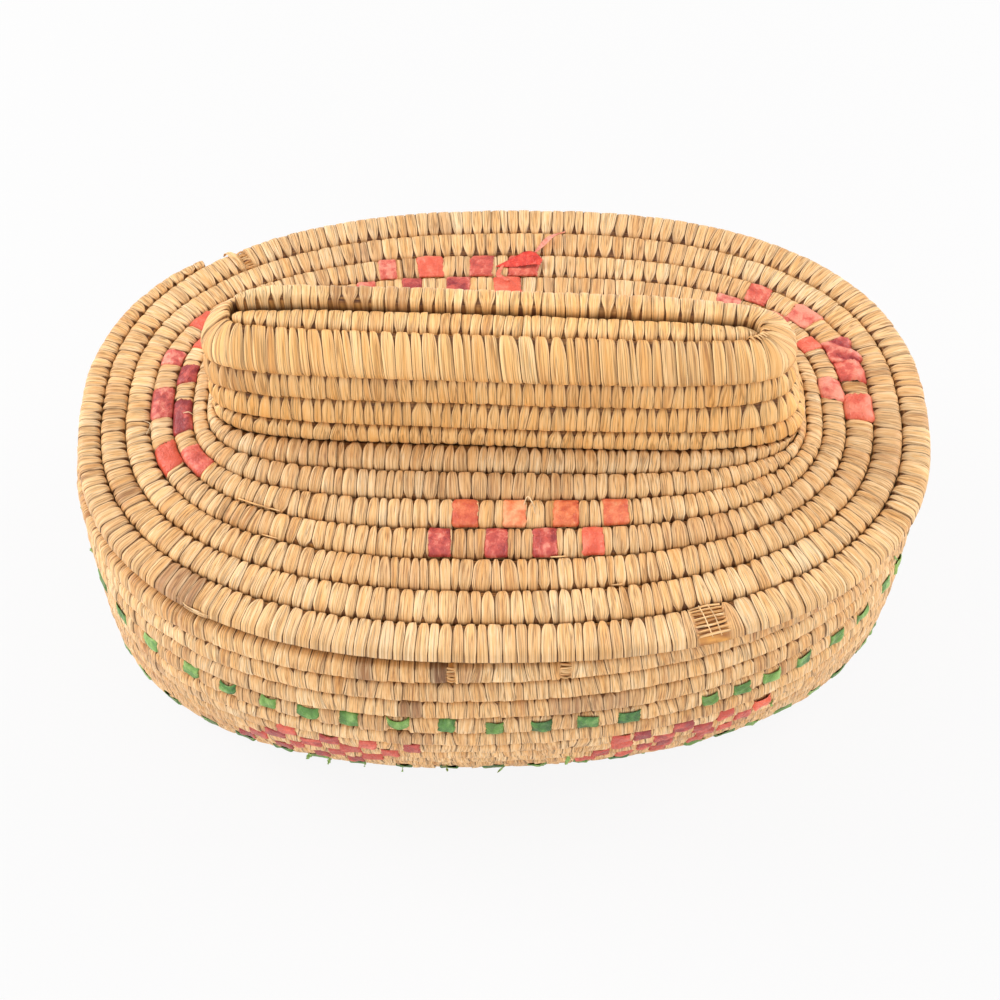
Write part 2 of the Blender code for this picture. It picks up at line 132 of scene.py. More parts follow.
@dataclass
class Grid:
    """A tube of points in rows round it, with values kept at each point.

    Args:
        points: rows x columns x 3. The last column joins the first.
        marks: named values, rows x columns or rows x columns x 3.
        loop: the last row joins the first. Otherwise a face closes each end.
    """

    points: np.ndarray
    marks: dict[str, np.ndarray]
    loop: bool = False

    def quads(self) -> np.ndarray:
        """Corner numbers of the quads, turned so that they face away from the middle."""
        rows, columns = self.points.shape[:2]
        row = np.arange(rows if self.loop else rows - 1)[:, None]
        column = np.arange(columns)[None, :]
        next_row, next_column = (row + 1) % rows, (column + 1) % columns
        corners = [
            row * columns + column,
            row * columns + next_column,
            next_row * columns + next_column,
            next_row * columns + column,
        ]
        quads = np.stack(np.broadcast_arrays(*corners), axis=-1).reshape(-1, 4)
        return quads[:, ::-1] if self._inside_out(quads) else quads

    def _inside_out(self, quads: np.ndarray) -> bool:
        """Whether the quads enclose a negative volume."""
        points = self.points.reshape(-1, 3)
        points = points - points.mean(axis=0)
        a, b, c, d = (points[quads[:, i]] for i in range(4))
        volume = np.einsum("ij,ij->i", a, np.cross(b, c)) + np.einsum("ij,ij->i", a, np.cross(c, d))
        return float(volume.sum()) < 0

    def caps(self, quads: np.ndarray) -> list[np.ndarray]:
        """The two end faces, turned to agree with the quads beside them."""
        if self.loop:
            return []
        rows, columns = self.points.shape[:2]
        first = np.arange(columns)
        last = first + (rows - 1) * columns
        flipped = quads[0][0] > quads[0][1] or quads[0][0] >= columns
        return [first, last[::-1]] if flipped else [first[::-1], last]


def build_mesh(name: str, grids: list[Grid]) -> Mesh:
    """Makes one smooth mesh out of several surfaces.

    Args:
        name: the mesh's name.
        grids: the surfaces, which all carry the same marks.

    Returns:
        The mesh.
    """
    points, loops, sizes, start = [], [], [], 0
    for grid in grids:
        quads = grid.quads()
        loops.append(quads.ravel() + start)
        sizes.append(np.full(len(quads), 4))
        for cap in grid.caps(quads):
            loops.append(cap + start)
            sizes.append(np.array([len(cap)]))
        points.append(grid.points.reshape(-1, 3))
        start += len(points[-1])
    corner, size = np.concatenate(loops), np.concatenate(sizes)
    place = np.concatenate(points)
    mesh = bpy.data.meshes.new(name)
    mesh.vertices.add(len(place))
    mesh.vertices.foreach_set("co", place.astype(np.float32).ravel())
    mesh.loops.add(len(corner))
    mesh.loops.foreach_set("vertex_index", corner.astype(np.int32))
    mesh.polygons.add(len(size))
    mesh.polygons.foreach_set("loop_start", (np.cumsum(size) - size).astype(np.int32))
    mesh.polygons.foreach_set("use_smooth", np.ones(len(size), bool))
    for mark in grids[0].marks:
        values = [grid.marks[mark].reshape(len(grid.points.reshape(-1, 3)), -1) for grid in grids]
        values = np.concatenate(values).astype(np.float32)
        kind, key = ("FLOAT", "value") if values.shape[1] == 1 else ("FLOAT_VECTOR", "vector")
        mesh.attributes.new(mark, kind, "POINT").data.foreach_set(key, values.ravel())
    mesh.update(calc_edges=True)
    mesh.validate()
    return mesh


def link(name: str, data: ID) -> Object:
    """Puts a mesh, a lamp or a camera into the scene as an object."""
    made = bpy.data.objects.new(name, data)
    bpy.context.scene.collection.objects.link(made)
    return made


@dataclass
class Wardrobe:
    """The materials, one to a slot, and the way that pieces are dressed in them.

    Args:
        materials: the material of each slot.
    """

    materials: dict[Slot, Material]

    def dress(
        self,
        name: str,
        grids: list[Grid],
        body: Body,
        slot: Slot,
        node: str = "",
        material: Material | None = None,
    ) -> None:
        """Makes one piece, hides the CAD node that it stands for and logs it.

        Args:
            name: the piece's name.
            grids: its surfaces.
            body: the body it rides on.
            slot: its material slot.
            node: the CAD node, if it stands for one.
            material: its material, if it isn't the slot's.
        """
        made = link(name, build_mesh(name, grids))
        made.data.materials.append(material or self.materials[slot])
        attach(made, body.value)
        if node:
            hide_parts(node)
        LOG.info("%s: %d faces", made.name, len(made.data.polygons))

    def sew(self, node: str, grid: Grid, body: Body, slot: Slot) -> None:
        """Makes the sewn round that stands for a CAD node."""
        self.dress(node + "_sewn", [grid], body, slot, node)


@dataclass(frozen=True)
class Rails:
    """The two edges of a coil at some stations, with its directions and thicknesses.

    Args:
        low: points on its low edge.
        high: points on its high edge.
        low_out: directions out of its outer side at the low edge.
        high_out: those at the high edge.
        depth: its thickness without its bulges.
        bulge: how far its outer side bulges.
        inner_bulge: how far its inner side bulges.
    """

    low: np.ndarray
    high: np.ndarray
    low_out: np.ndarray
    high_out: np.ndarray
    depth: np.ndarray
    bulge: np.ndarray
    inner_bulge: float


@dataclass
class CoilForm(ABC):
    """Where a coil runs. Its section is a rounded box between two edge lines.

    Args:
        squareness: power of the section's rounded box: 2 is an oval.
        inner_bulge: how far the inner side bulges out of the edge lines' depth.
    """

    squareness: float = 2.5
    inner_bulge: float = 1.2 * MM

    @abstractmethod
    def rails(self, turns: np.ndarray) -> Rails:
        """The coil's edges at these turns, with arrays of any shape."""

    def place(
        self, turns: np.ndarray, across: np.ndarray, side: np.ndarray, lift: np.ndarray | float
    ) -> np.ndarray:
        """Points on the coil's skin.

        The section follows x**n + y**n = 1, where x runs from one edge to the other and y
        is the height above the middle of the coil. The point is then lifted along the
        section's own normal.

        Args:
            turns: where along the coil.
            across: share of the row's width, from its low edge to its high edge.
            side: 1 on the outer side and -1 on the inner side.
            lift: height above the skin.

        Returns:
            Points, with one more axis than turns.
        """
        rails = self.rails(turns)
        share = across[..., None]
        span = rails.high - rails.low
        width = np.linalg.norm(span, axis=-1, keepdims=True)
        outward = unit(rails.low_out * (1 - share) + rails.high_out * share)
        half_depth = rails.depth[..., None] / 2
        bulge = np.where(side > 0, rails.bulge, rails.inner_bulge)[..., None]
        half_thick = half_depth + bulge
        x = 2 * share - 1
        y = np.maximum(1 - np.abs(x) ** self.squareness, 0.0) ** (1 / self.squareness)
        turned = side[..., None]
        point = rails.low + span * share - outward * half_depth + outward * (turned * y * half_thick)
        slope_x = np.sign(x) * np.abs(x) ** (self.squareness - 1) / (width / 2)
        slope_y = turned * y ** (self.squareness - 1) / half_thick
        normal = unit(span / width * slope_x + outward * slope_y)
        return point + normal * np.asarray(lift)[..., None]

    def stations(self, start: float, stop: float) -> np.ndarray:
        """Turns at which the coil is measured."""
        return np.linspace(start, stop, 400)


@dataclass
class SpiralForm(CoilForm):
    """A coil that winds round an oval, between its valley line and the next one in.

    Args:
        end_angle: angle of the coil's outer end.
        sense: 1 if the turns, counted back from the end, run anticlockwise.
        tail_turns: length of the tail into which the coil thins at its end.
        tail_tip: share of the row's width that is left at the tail's tip.
    """

    end_angle: float = 0.0
    sense: int = 1
    tail_turns: float = 0.1
    tail_tip: float = 0.3

    @abstractmethod
    def line(self, turns: np.ndarray) -> dict[str, np.ndarray]:
        """Sizes of the valley line at counts of turns back from the coil's end."""

    def stations(self, start: float, stop: float) -> np.ndarray:
        """Turns at which the coil is measured, close together at the axes."""
        return graded_turns(start, stop, -self.sense * self.end_angle / (2 * math.pi) % 0.25)

    def edge(self, turns: np.ndarray) -> tuple[np.ndarray, np.ndarray, dict[str, np.ndarray]]:
        """Points on the valley line, the outward directions there and its sizes.

        The plan is an oval |x/a|**p + |y/b|**p = 1, turned and shifted a little.
        """
        at = self.line(turns)
        angle = self.end_angle + self.sense * 2 * math.pi * turns
        cos, sin = np.cos(angle), np.sin(angle)
        power = at["power"]
        x = at["half_length"] * np.sign(cos) * np.abs(cos) ** (2 / power)
        y = at["half_width"] * np.sign(sin) * np.abs(sin) ** (2 / power)
        out_x = np.sign(cos) * np.abs(cos) ** (2 - 2 / power) / at["half_length"]
        out_y = np.sign(sin) * np.abs(sin) ** (2 - 2 / power) / at["half_width"]
        size = np.hypot(out_x, out_y)
        out_x, out_y = out_x / size, out_y / size
        skew_cos, skew_sin = np.cos(at["skew"]), np.sin(at["skew"])
        point_x = at["shift_x"] + x * skew_cos - y * skew_sin
        point_y = at["shift_y"] + x * skew_sin + y * skew_cos
        points = np.stack([point_x, point_y, at["height"]], axis=-1)
        facing = at["facing"] + (at["end_facing"] - at["facing"]) * cos**2
        level = np.sin(facing)
        plan_x = level * (out_x * skew_cos - out_y * skew_sin)
        plan_y = level * (out_x * skew_sin + out_y * skew_cos)
        return points, np.stack([plan_x, plan_y, np.cos(facing)], axis=-1), at

    def rails(self, turns: np.ndarray) -> Rails:
        """The coil's edges: its valley line and the one a turn further in."""
        low, low_out, at = self.edge(turns)
        high, high_out, _ = self.edge(turns + 1.0)
        thin = (1 - self.tail_tip) * (1 - np.clip(turns / self.tail_turns, 0.0, 1.0))
        low = low + (high - low) * thin[..., None]
        return Rails(low, high, low_out, high_out, at["depth"], at["bulge"], self.inner_bulge)


@dataclass
class BasketForm(SpiralForm):
    """The basket's coil: flat over the base, round the heel and up the wall to the rim.

    Args:
        pitch: distance from one row to the next.
        thickness: the coil's thickness with its bulges.
        proud: how far each of its sides bulges.
        half_length: half the length of the widest row.
        half_width: half its width.
        power: power of the rows' oval.
        skew: how far the oval is turned in plan.
        core_half_width: half the width of the core.
        rim_fall: how many rows the rim's own turn falls.
        second_turn: how many rows under the rim the second turn starts.
        blend_turns: turns over which the first turn drops to the second.
        lean_rows: counts of rows from the rim down, for the leans.
        leans: degrees by which the wall leans inwards there on its way down.
        end_lateness: how much later than the sides the two ends draw in.
    """

    squareness: float = 3.4
    end_angle: float = math.radians(60.0)
    sense: int = -1
    tail_turns: float = 0.06
    pitch: float = 9.0 * MM
    thickness: float = 8.5 * MM
    proud: float = 1.2 * MM
    half_length: float = 148.2 * MM
    half_width: float = 104.2 * MM
    power: float = 2.30
    skew: float = math.radians(2.6)
    core_half_width: float = 5.0 * MM
    rim_fall: float = 0.2
    second_turn: float = 0.5
    blend_turns: float = 1 / 30
    lean_rows: tuple[float, ...] = (0.0, 1.5, 3.0, 4.0, 5.0, 7.0, 9.0, 10.5, 13.5)
    leans: tuple[float, ...] = (-13.8, -13.8, -5.0, -5.0, 13.8, 17.6, 22.5, 29.7, 90.0)
    end_lateness: float = 3.7

    def __post_init__(self) -> None:
        """Works out the wall's section once: how far it reaches and drops down its run."""
        self.runs = np.linspace(0.0, self.pitch * self.lean_rows[-1], 541)
        lean_runs = self.pitch * np.array(self.lean_rows)
        self.run_leans = np.radians(np.interp(self.runs, lean_runs, self.leans))
        middle = (self.run_leans[1:] + self.run_leans[:-1]) / 2
        step = self.runs[1] - self.runs[0]
        reach = np.concatenate([[0.0], np.cumsum(-np.sin(middle) * step)])
        self.drops = np.concatenate([[0.0], np.cumsum(np.cos(middle) * step)])
        self.insets = reach.max() - reach
        self.heel = self.insets[-1]
        self.core_run = self.runs[-1] + self.half_width - self.heel - self.core_half_width
        self.core_turn = self.core_run / self.pitch + 1 - self.second_turn

    def line(self, turns: np.ndarray) -> dict[str, np.ndarray]:
        """Sizes of the basket's valley line. The rim's own turn is nearly level."""
        below = 1.0 - self.blend_turns
        blend = np.clip((turns - below) / self.blend_turns, 0.0, 1.0)
        rim = self.rim_fall * np.minimum(turns, below) ** 2
        later = np.maximum(turns, 1.0) - 1 + self.second_turn
        rows = rim * (1 - blend) + later * blend
        run = np.minimum(self.pitch * rows, self.core_run)
        lean = np.interp(run, self.runs, self.run_leans)
        inset = np.interp(run, self.runs, self.insets) + np.maximum(run - self.runs[-1], 0.0)
        late = np.minimum(inset / self.heel, 1.0) ** self.end_lateness
        end_rate = np.where(inset < self.heel, (1 + self.end_lateness) * late, 1.0)
        flat = 0.0 * turns
        return {
            "half_length": self.half_length - inset * late,
            "half_width": self.half_width - inset,
            "height": self.proud + self.drops[-1] - np.interp(run, self.runs, self.drops),
            "power": self.power + flat,
            "facing": math.pi / 2 + lean,
            "end_facing": math.pi / 2 + np.arctan2(end_rate * np.sin(lean), np.cos(lean)),
            "shift_x": flat,
            "shift_y": flat,
            "skew": self.skew + flat,
            "bulge": self.proud + flat,
            "depth": self.thickness - 2 * self.proud + flat,
        }


@dataclass
class LidForm(SpiralForm):
    """The lid's coil: a core along the top of the knob, down its wall and out to the edge.

    Args:
        level: height of the lid's edge.
        thickness: the coil's thickness with its bulges.
        proud: how far each of its sides bulges.
        half_length: half the length of the outer row.
        half_width: half its width.
        pitch_end: how the ends draw in, for each turn, its square and its cube.
        pitch_side: how the sides do, for each turn and its square.
        rise: how the rows rise, for each turn and its square.
        power: power of the outer row's oval, and its growth with the turn's square.
        shift_x: how far the outer row is shifted lengthwise, and the change by each turn.
        shift_y: the same crosswise.
        foot_turn: turn at which the knob starts.
        foot_half_width: half the knob's width there.
        foot_half_length: half its length.
        knob_rises: how far each turn of the knob rises.
        knob_back_climb: share of the last rise that the back of the ring has made.
        knob_left_hump: how far the ring's left end humps over the core.
        knob_lean: how far the knob's wall leans inwards with each turn.
        knob_bulge: how far the top ring bulges.
        knob_power: power of the knob's oval.
        knob_skew: how far the knob is turned in plan.
        knob_shifts: how far it is shifted at its foot and its core, and across.
        core_half_width: half the width of the core.
        core_end_round: how far the core's ends stay inside the knob's.
    """

    squareness: float = 3.3
    inner_bulge: float = 1.9 * MM
    end_angle: float = math.radians(138.0)
    sense: int = 1
    level: float = 109.405 * MM
    thickness: float = 7.4 * MM
    proud: float = 1.9 * MM
    half_length: float = 152.4 * MM
    half_width: float = 106.1 * MM
    pitch_end: tuple[float, float, float] = (8.05 * MM, 0.77 * MM, 0.147 * MM)
    pitch_side: tuple[float, float] = (13.4 * MM, 0.29 * MM)
    rise: tuple[float, float] = (0.93 * MM, 0.105 * MM)
    power: tuple[float, float] = (2.378, 0.003)
    shift_x: tuple[float, float] = (3.8 * MM, -0.74 * MM)
    shift_y: tuple[float, float] = (2.8 * MM, -0.17 * MM)
    foot_turn: float = 7.36
    foot_half_width: float = 21.0 * MM
    foot_half_length: float = 101.0 * MM
    knob_rises: tuple[float, ...] = (7.5 * MM, 10.7 * MM, 11.0 * MM, 9.5 * MM)
    knob_back_climb: float = 0.38
    knob_left_hump: float = 2.2 * MM
    knob_lean: float = 2.0 * MM
    knob_bulge: float = 5.0 * MM
    knob_power: float = 4.2
    knob_skew: float = math.radians(-2.5)
    knob_shifts: tuple[float, float, float] = (3.2 * MM, -2.0 * MM, -0.5 * MM)
    core_half_width: float = 5.0 * MM
    core_end_round: float = 9.5 * MM

    def __post_init__(self) -> None:
        """Works out the turns and heights at which the knob's form changes."""
        self.knob_turns = self.foot_turn + np.array([0.0, 1.0, 2.0, 2.5, 3.0, 3.5, 3.76, 5.0])
        self.core_turn = self.knob_turns[6]
        foot = float(self.rising(np.array(self.foot_turn)))
        low = foot + self.knob_rises[0]
        middle = low + self.knob_rises[1]
        ring = middle + self.knob_rises[2]
        half_up = middle + 0.55 * self.knob_rises[2]
        core = ring + self.knob_rises[3]
        back = ring + self.knob_back_climb * self.knob_rises[3]
        left = core + self.knob_left_hump
        self.heights = [foot, low, middle, half_up, ring, back, left, core, core]
        self.height_turns = self.foot_turn + np.array([0.0, 1.0, 2.0, 2.5, 3.0, 3.5, 3.62, 3.76, 5.0])
        self.core_height = self.level + core
        self.core_half_length = self.foot_half_length - 2 * self.knob_lean - self.core_end_round
        self.ring_half_width = self.foot_half_width - 3 * self.knob_lean
        self.ring_half_length = self.foot_half_length - 1.75 * self.knob_lean

    def rising(self, turns: np.ndarray) -> np.ndarray:
        """How far the valley line has risen above the lid's edge."""
        return self.rise[0] * turns + self.rise[1] * turns**2

    def plain_length(self, turns: np.ndarray) -> np.ndarray:
        """Half the length of the lid's rows, before they near the knob."""
        first, second, third = self.pitch_end
        return self.half_length - first * turns - second * turns**2 + third * turns**3

    def plain_width(self, turns: np.ndarray) -> np.ndarray:
        """Half the width of the lid's rows, before they near the knob."""
        return self.half_width - self.pitch_side[0] * turns + self.pitch_side[1] * turns**2

    def blend(self, turns: np.ndarray, foot: float, ring: float, core: float) -> np.ndarray:
        """A size of the knob between its foot, its top ring and its core."""
        share = np.array([0.0, 0.33, 0.67, 0.84, 1.0, 1.0])
        values = np.concatenate([foot + (ring - foot) * share, [core, core]])
        return np.interp(turns, self.knob_turns, values)

    def line(self, turns: np.ndarray) -> dict[str, np.ndarray]:
        """Sizes of the lid's valley line."""
        flat = turns < self.foot_turn
        nearing = np.clip(turns / self.foot_turn, 0.0, 1.0) ** 3
        foot = np.array(self.foot_turn)
        end = self.plain_length(turns)
        end = end + (self.foot_half_length - self.plain_length(foot)) * nearing
        side = self.plain_width(turns)
        side = side + (self.foot_half_width - self.plain_width(foot)) * nearing
        facing_turns = self.foot_turn + np.array([-0.7, 0.0, 1.0, 3.0, 3.4, 3.62])
        facing = np.interp(turns, facing_turns, np.radians([0.0, 45.0, 84.0, 84.0, 72.0, 0.0]))
        knob_end = self.blend(turns, self.foot_half_length, self.ring_half_length, self.core_half_length)
        knob_side = self.blend(turns, self.foot_half_width, self.ring_half_width, self.core_half_width)
        flat_power = self.power[0] + self.power[1] * turns**2
        flat_power = flat_power + (self.knob_power - flat_power) * nearing
        drift_x = self.shift_x[0] + self.shift_x[1] * turns
        drift_y = self.shift_y[0] + self.shift_y[1] * turns
        knob_shift = np.interp(turns, [self.foot_turn, self.core_turn], self.knob_shifts[:2])
        ringing = np.interp(turns, self.knob_turns[3:5], [0.0, 1.0])
        lid_depth = self.thickness - 2 * self.proud
        knob_height = np.interp(turns, self.height_turns, self.heights)
        return {
            "half_length": np.where(flat, end, knob_end),
            "half_width": np.where(flat, side, knob_side),
            "height": self.level + np.where(flat, self.rising(turns), knob_height),
            "power": np.where(flat, flat_power, self.knob_power),
            "facing": facing,
            "end_facing": facing,
            "shift_x": drift_x + (knob_shift - drift_x) * nearing,
            "shift_y": drift_y + (self.knob_shifts[2] - drift_y) * nearing,
            "skew": self.knob_skew * nearing,
            "bulge": self.proud + (self.knob_bulge - self.proud) * ringing,
            "depth": lid_depth + (self.thickness - self.proud - lid_depth) * ringing,
        }


@dataclass
class CoreForm(CoilForm):
    """The straight start of a coil. Turns from 0 to 1 run from one end to the other.

    Args:
        half_length: half the core's length.
        half_width: half its width in the middle.
        centre: the middle of the core, on its edge lines' level.
        skew: how far it is turned in plan.
        up: 1 if its outer side faces up.
        depth: thickness under the outer bulge.
        bulge: how far the outer side bulges.
        power: power of the oval that rounds its ends.
    """

    half_length: float = 0.05
    half_width: float = 5.0 * MM
    centre: Point = (0.0, 0.0, 0.0)
    skew: float = 0.0
    up: int = 1
    depth: float = 5.0 * MM
    bulge: float = 3.0 * MM
    power: float = 3.4

    def sewn(self, seed: int, width: float) -> Grid:
        """The core's skin, with stitches of this width."""
        sewing = Sewing(seed=seed, width=width, low=BLUNT, high=BLUNT)
        return SewnCoil(self, sewing, 0.0, 1.0).surface(0, 1)

    def rails(self, turns: np.ndarray) -> Rails:
        """Both edges of the core, drawn together at its two ends."""
        place = 2 * np.clip(turns, 0.002, 0.998) - 1
        narrowing = (1 - np.abs(place) ** self.power) ** (1 / self.power)
        reach = self.half_width * narrowing
        cos, sin = math.cos(self.skew), math.sin(self.skew)
        x = self.half_length * place
        centre = np.array(self.centre)
        zero = 0.0 * turns
        low = np.stack([x * cos + reach * sin, x * sin - reach * cos, zero], axis=-1) + centre
        high = np.stack([x * cos - reach * sin, x * sin + reach * cos, zero], axis=-1) + centre
        outward = np.zeros(low.shape) + np.array([0.0, 0.0, float(self.up)])
        lowered = self.bulge * (0.35 + 0.65 * narrowing)
        depth = self.depth * (0.5 + 0.5 * narrowing)
        return Rails(low, high, outward, outward, depth, lowered, self.inner_bulge)


@dataclass
class FlangeForm(CoilForm):
    """The coil sewn under the lid, just inside the rim. It runs once round.

    Args:
        lid: the lid's form, under which it hangs.
        basket: the basket's form, inside which it fits.
        play: room between it and the basket's wall.
        width: its width in plan.
        drop: its height.
        gap: room between it and the lid.
    """

    squareness: float = 2.3
    lid: LidForm = field(default_factory=LidForm)
    basket: BasketForm = field(default_factory=BasketForm)
    play: float = 2.5 * MM
    width: float = 7.5 * MM
    drop: float = 9.5 * MM
    gap: float = 0.3 * MM

    def __post_init__(self) -> None:
        """Finds the lid's underside above the flange once, as a table over the angle."""
        inner_wall = self.basket.thickness - self.basket.proud + self.play
        rim = self.basket.line(np.array([0.0]))
        self.length = float(rim["half_length"][0]) - inner_wall
        self.side = float(rim["half_width"][0]) - inner_wall
        self.table_angle = np.linspace(0.0, 2 * math.pi, 361)
        x, y = self._oval(self.table_angle, 0.0)
        turns = np.linspace(0.0, self.lid.foot_turn, 800)
        at = self.lid.line(turns)
        across = np.abs((x[:, None] - at["shift_x"]) / at["half_length"]) ** at["power"]
        across += np.abs((y[:, None] - at["shift_y"]) / at["half_width"]) ** at["power"]
        nearest = turns[np.argmin(np.abs(across - 1.0), axis=1)]
        under = self.lid.thickness - self.lid.proud
        self.table_top = self.lid.level + self.lid.rising(nearest) - under - self.gap

    def stations(self, start: float, stop: float) -> np.ndarray:
        """Turns at which the coil is measured, close together at the axes."""
        return graded_turns(start, stop, 0.0)

    def _oval(self, angle: np.ndarray, inset: float) -> tuple[np.ndarray, np.ndarray]:
        """Plan points of the flange's oval, drawn in by an inset."""
        cos, sin = np.cos(angle), np.sin(angle)
        power = 2 / self.basket.power
        x = (self.length - inset) * np.sign(cos) * np.abs(cos) ** power
        y = (self.side - inset) * np.sign(sin) * np.abs(sin) ** power
        skew_cos, skew_sin = math.cos(self.basket.skew), math.sin(self.basket.skew)
        return x * skew_cos - y * skew_sin, x * skew_sin + y * skew_cos

    def rails(self, turns: np.ndarray) -> Rails:
        """The flange's outer and inner edge, halfway down, with its outer side facing down."""
        angle = 2 * math.pi * turns
        top = np.interp(angle % (2 * math.pi), self.table_angle, self.table_top)
        height = top - self.drop / 2
        outer_x, outer_y = self._oval(angle, 0.0)
        inner_x, inner_y = self._oval(angle, self.width)
        low = np.stack([outer_x, outer_y, height], axis=-1)
        high = np.stack([inner_x, inner_y, height], axis=-1)
        outward = np.zeros(low.shape) + np.array([0.0, 0.0, -1.0])
        bulge = self.drop / 2 + 0.0 * turns
        return Rails(low, high, outward, outward, 0.0 * turns, bulge, self.drop / 2)


@dataclass(frozen=True)
class ToneGroup:
    """A run of stitches of another tone.

    Args:
        start: first turn of the run.
        stop: last turn of the run.
        tone: from -1, burnt, over 0, dark, to 1, pale.
        grey: from 0, golden, to 1, grey brown.
    """

    start: float
    stop: float
    tone: float
    grey: float


@dataclass(frozen=True)
class Tip:
    """How a stitch narrows towards one edge of its row.

    Args:
        kept: share of its width that is left at the edge.
        reach: share of the row over which it narrows.
        bend: power of the narrowing: 1 makes a straight point and 3 a rounded end.
    """

    kept: float
    reach: float
    bend: float

    def width(self, away: np.ndarray, chance: np.ndarray) -> np.ndarray:
        """The share of its width that a stitch keeps near the edge.

        It is 1 - (1 - kept) * (1 - away / reach)**bend.

        Args:
            away: distance from the edge as a share of the row.
            chance: what each stitch's kept width and reach are multiplied by.

        Returns:
            The share for each stitch and distance.
        """
        near = np.clip(1 - away / (self.reach * (1.4 - 0.4 * chance)), 0.0, 1.0)
        return 1 - (1 - np.clip(self.kept * chance, 0.05, 0.98)) * near**self.bend


@dataclass
class Sewing:
    """How a coil is stitched.

    Args:
        width: mean width of a stitch.
        spread: how much the widths differ.
        lean: how far the top of a stitch leads its foot, as a share of its width.
        wander: how much that differs from stitch to stitch.
        crown: height of a stitch's middle over its edges.
        unevenness: how much the heights differ.
        roll: how much one side of a stitch stands over the other.
        tips: how much the tips differ.
        gap: depth of the gap between two stitches where it is narrow.
        notch: depth of the gap where the stitches narrow to their tips.
        keep: share of its room that a stitch fills where it is widest.
        low: how a stitch narrows to the row's low edge.
        high: how it narrows to the high edge.
        tilt: how far the low edge stands proud of the high edge.
        columns: points across a stitch, apart from its gap.
        outer: how many points go across the outer side.
        inner: how many points go across the inner side.
        tone: mean tone of the stitches.
        grey: their mean greyness.
        shades: how much tones differ from stitch to stitch.
        greys: how much their greyness does.
        lean_drift: how the lean drifts along the coil.
        tone_drifts: how the tone drifts, slowly and in blotches.
        grey_drift: how the greyness drifts.
        odd_drift: drift that decides where stitches are darker and greyer.
        odd: above which value of it they are.
        seed: seed of the chance in them.
    """

    width: float = 3.95 * MM
    spread: float = 0.23
    lean: float = 0.03
    wander: float = 0.12
    crown: float = 0.16 * MM
    unevenness: float = 0.13 * MM
    roll: float = 0.14 * MM
    tips: float = 0.35
    gap: float = 0.50 * MM
    notch: float = 0.8 * MM
    keep: float = 0.945
    low: Tip = Tip(0.72, 0.13, 1.8)
    high: Tip = Tip(0.50, 0.40, 1.7)
    tilt: float = 0.45 * MM
    columns: int = 5
    outer: int = 13
    inner: int = 5
    tone: float = 0.58
    grey: float = 0.16
    shades: float = 0.10
    greys: float = 0.12
    lean_drift: Drift = Drift(0.12, 30 * MM)
    tone_drifts: tuple[Drift, Drift] = (Drift(0.16, 45 * MM), Drift(0.14, 12 * MM))
    grey_drift: Drift = Drift(0.34, 60 * MM)
    odd_drift: Drift = Drift(1.0, 14 * MM)
    odd: float = 0.95
    seed: int = 1


BLUNT = Tip(0.7, 0.3, 2.0)


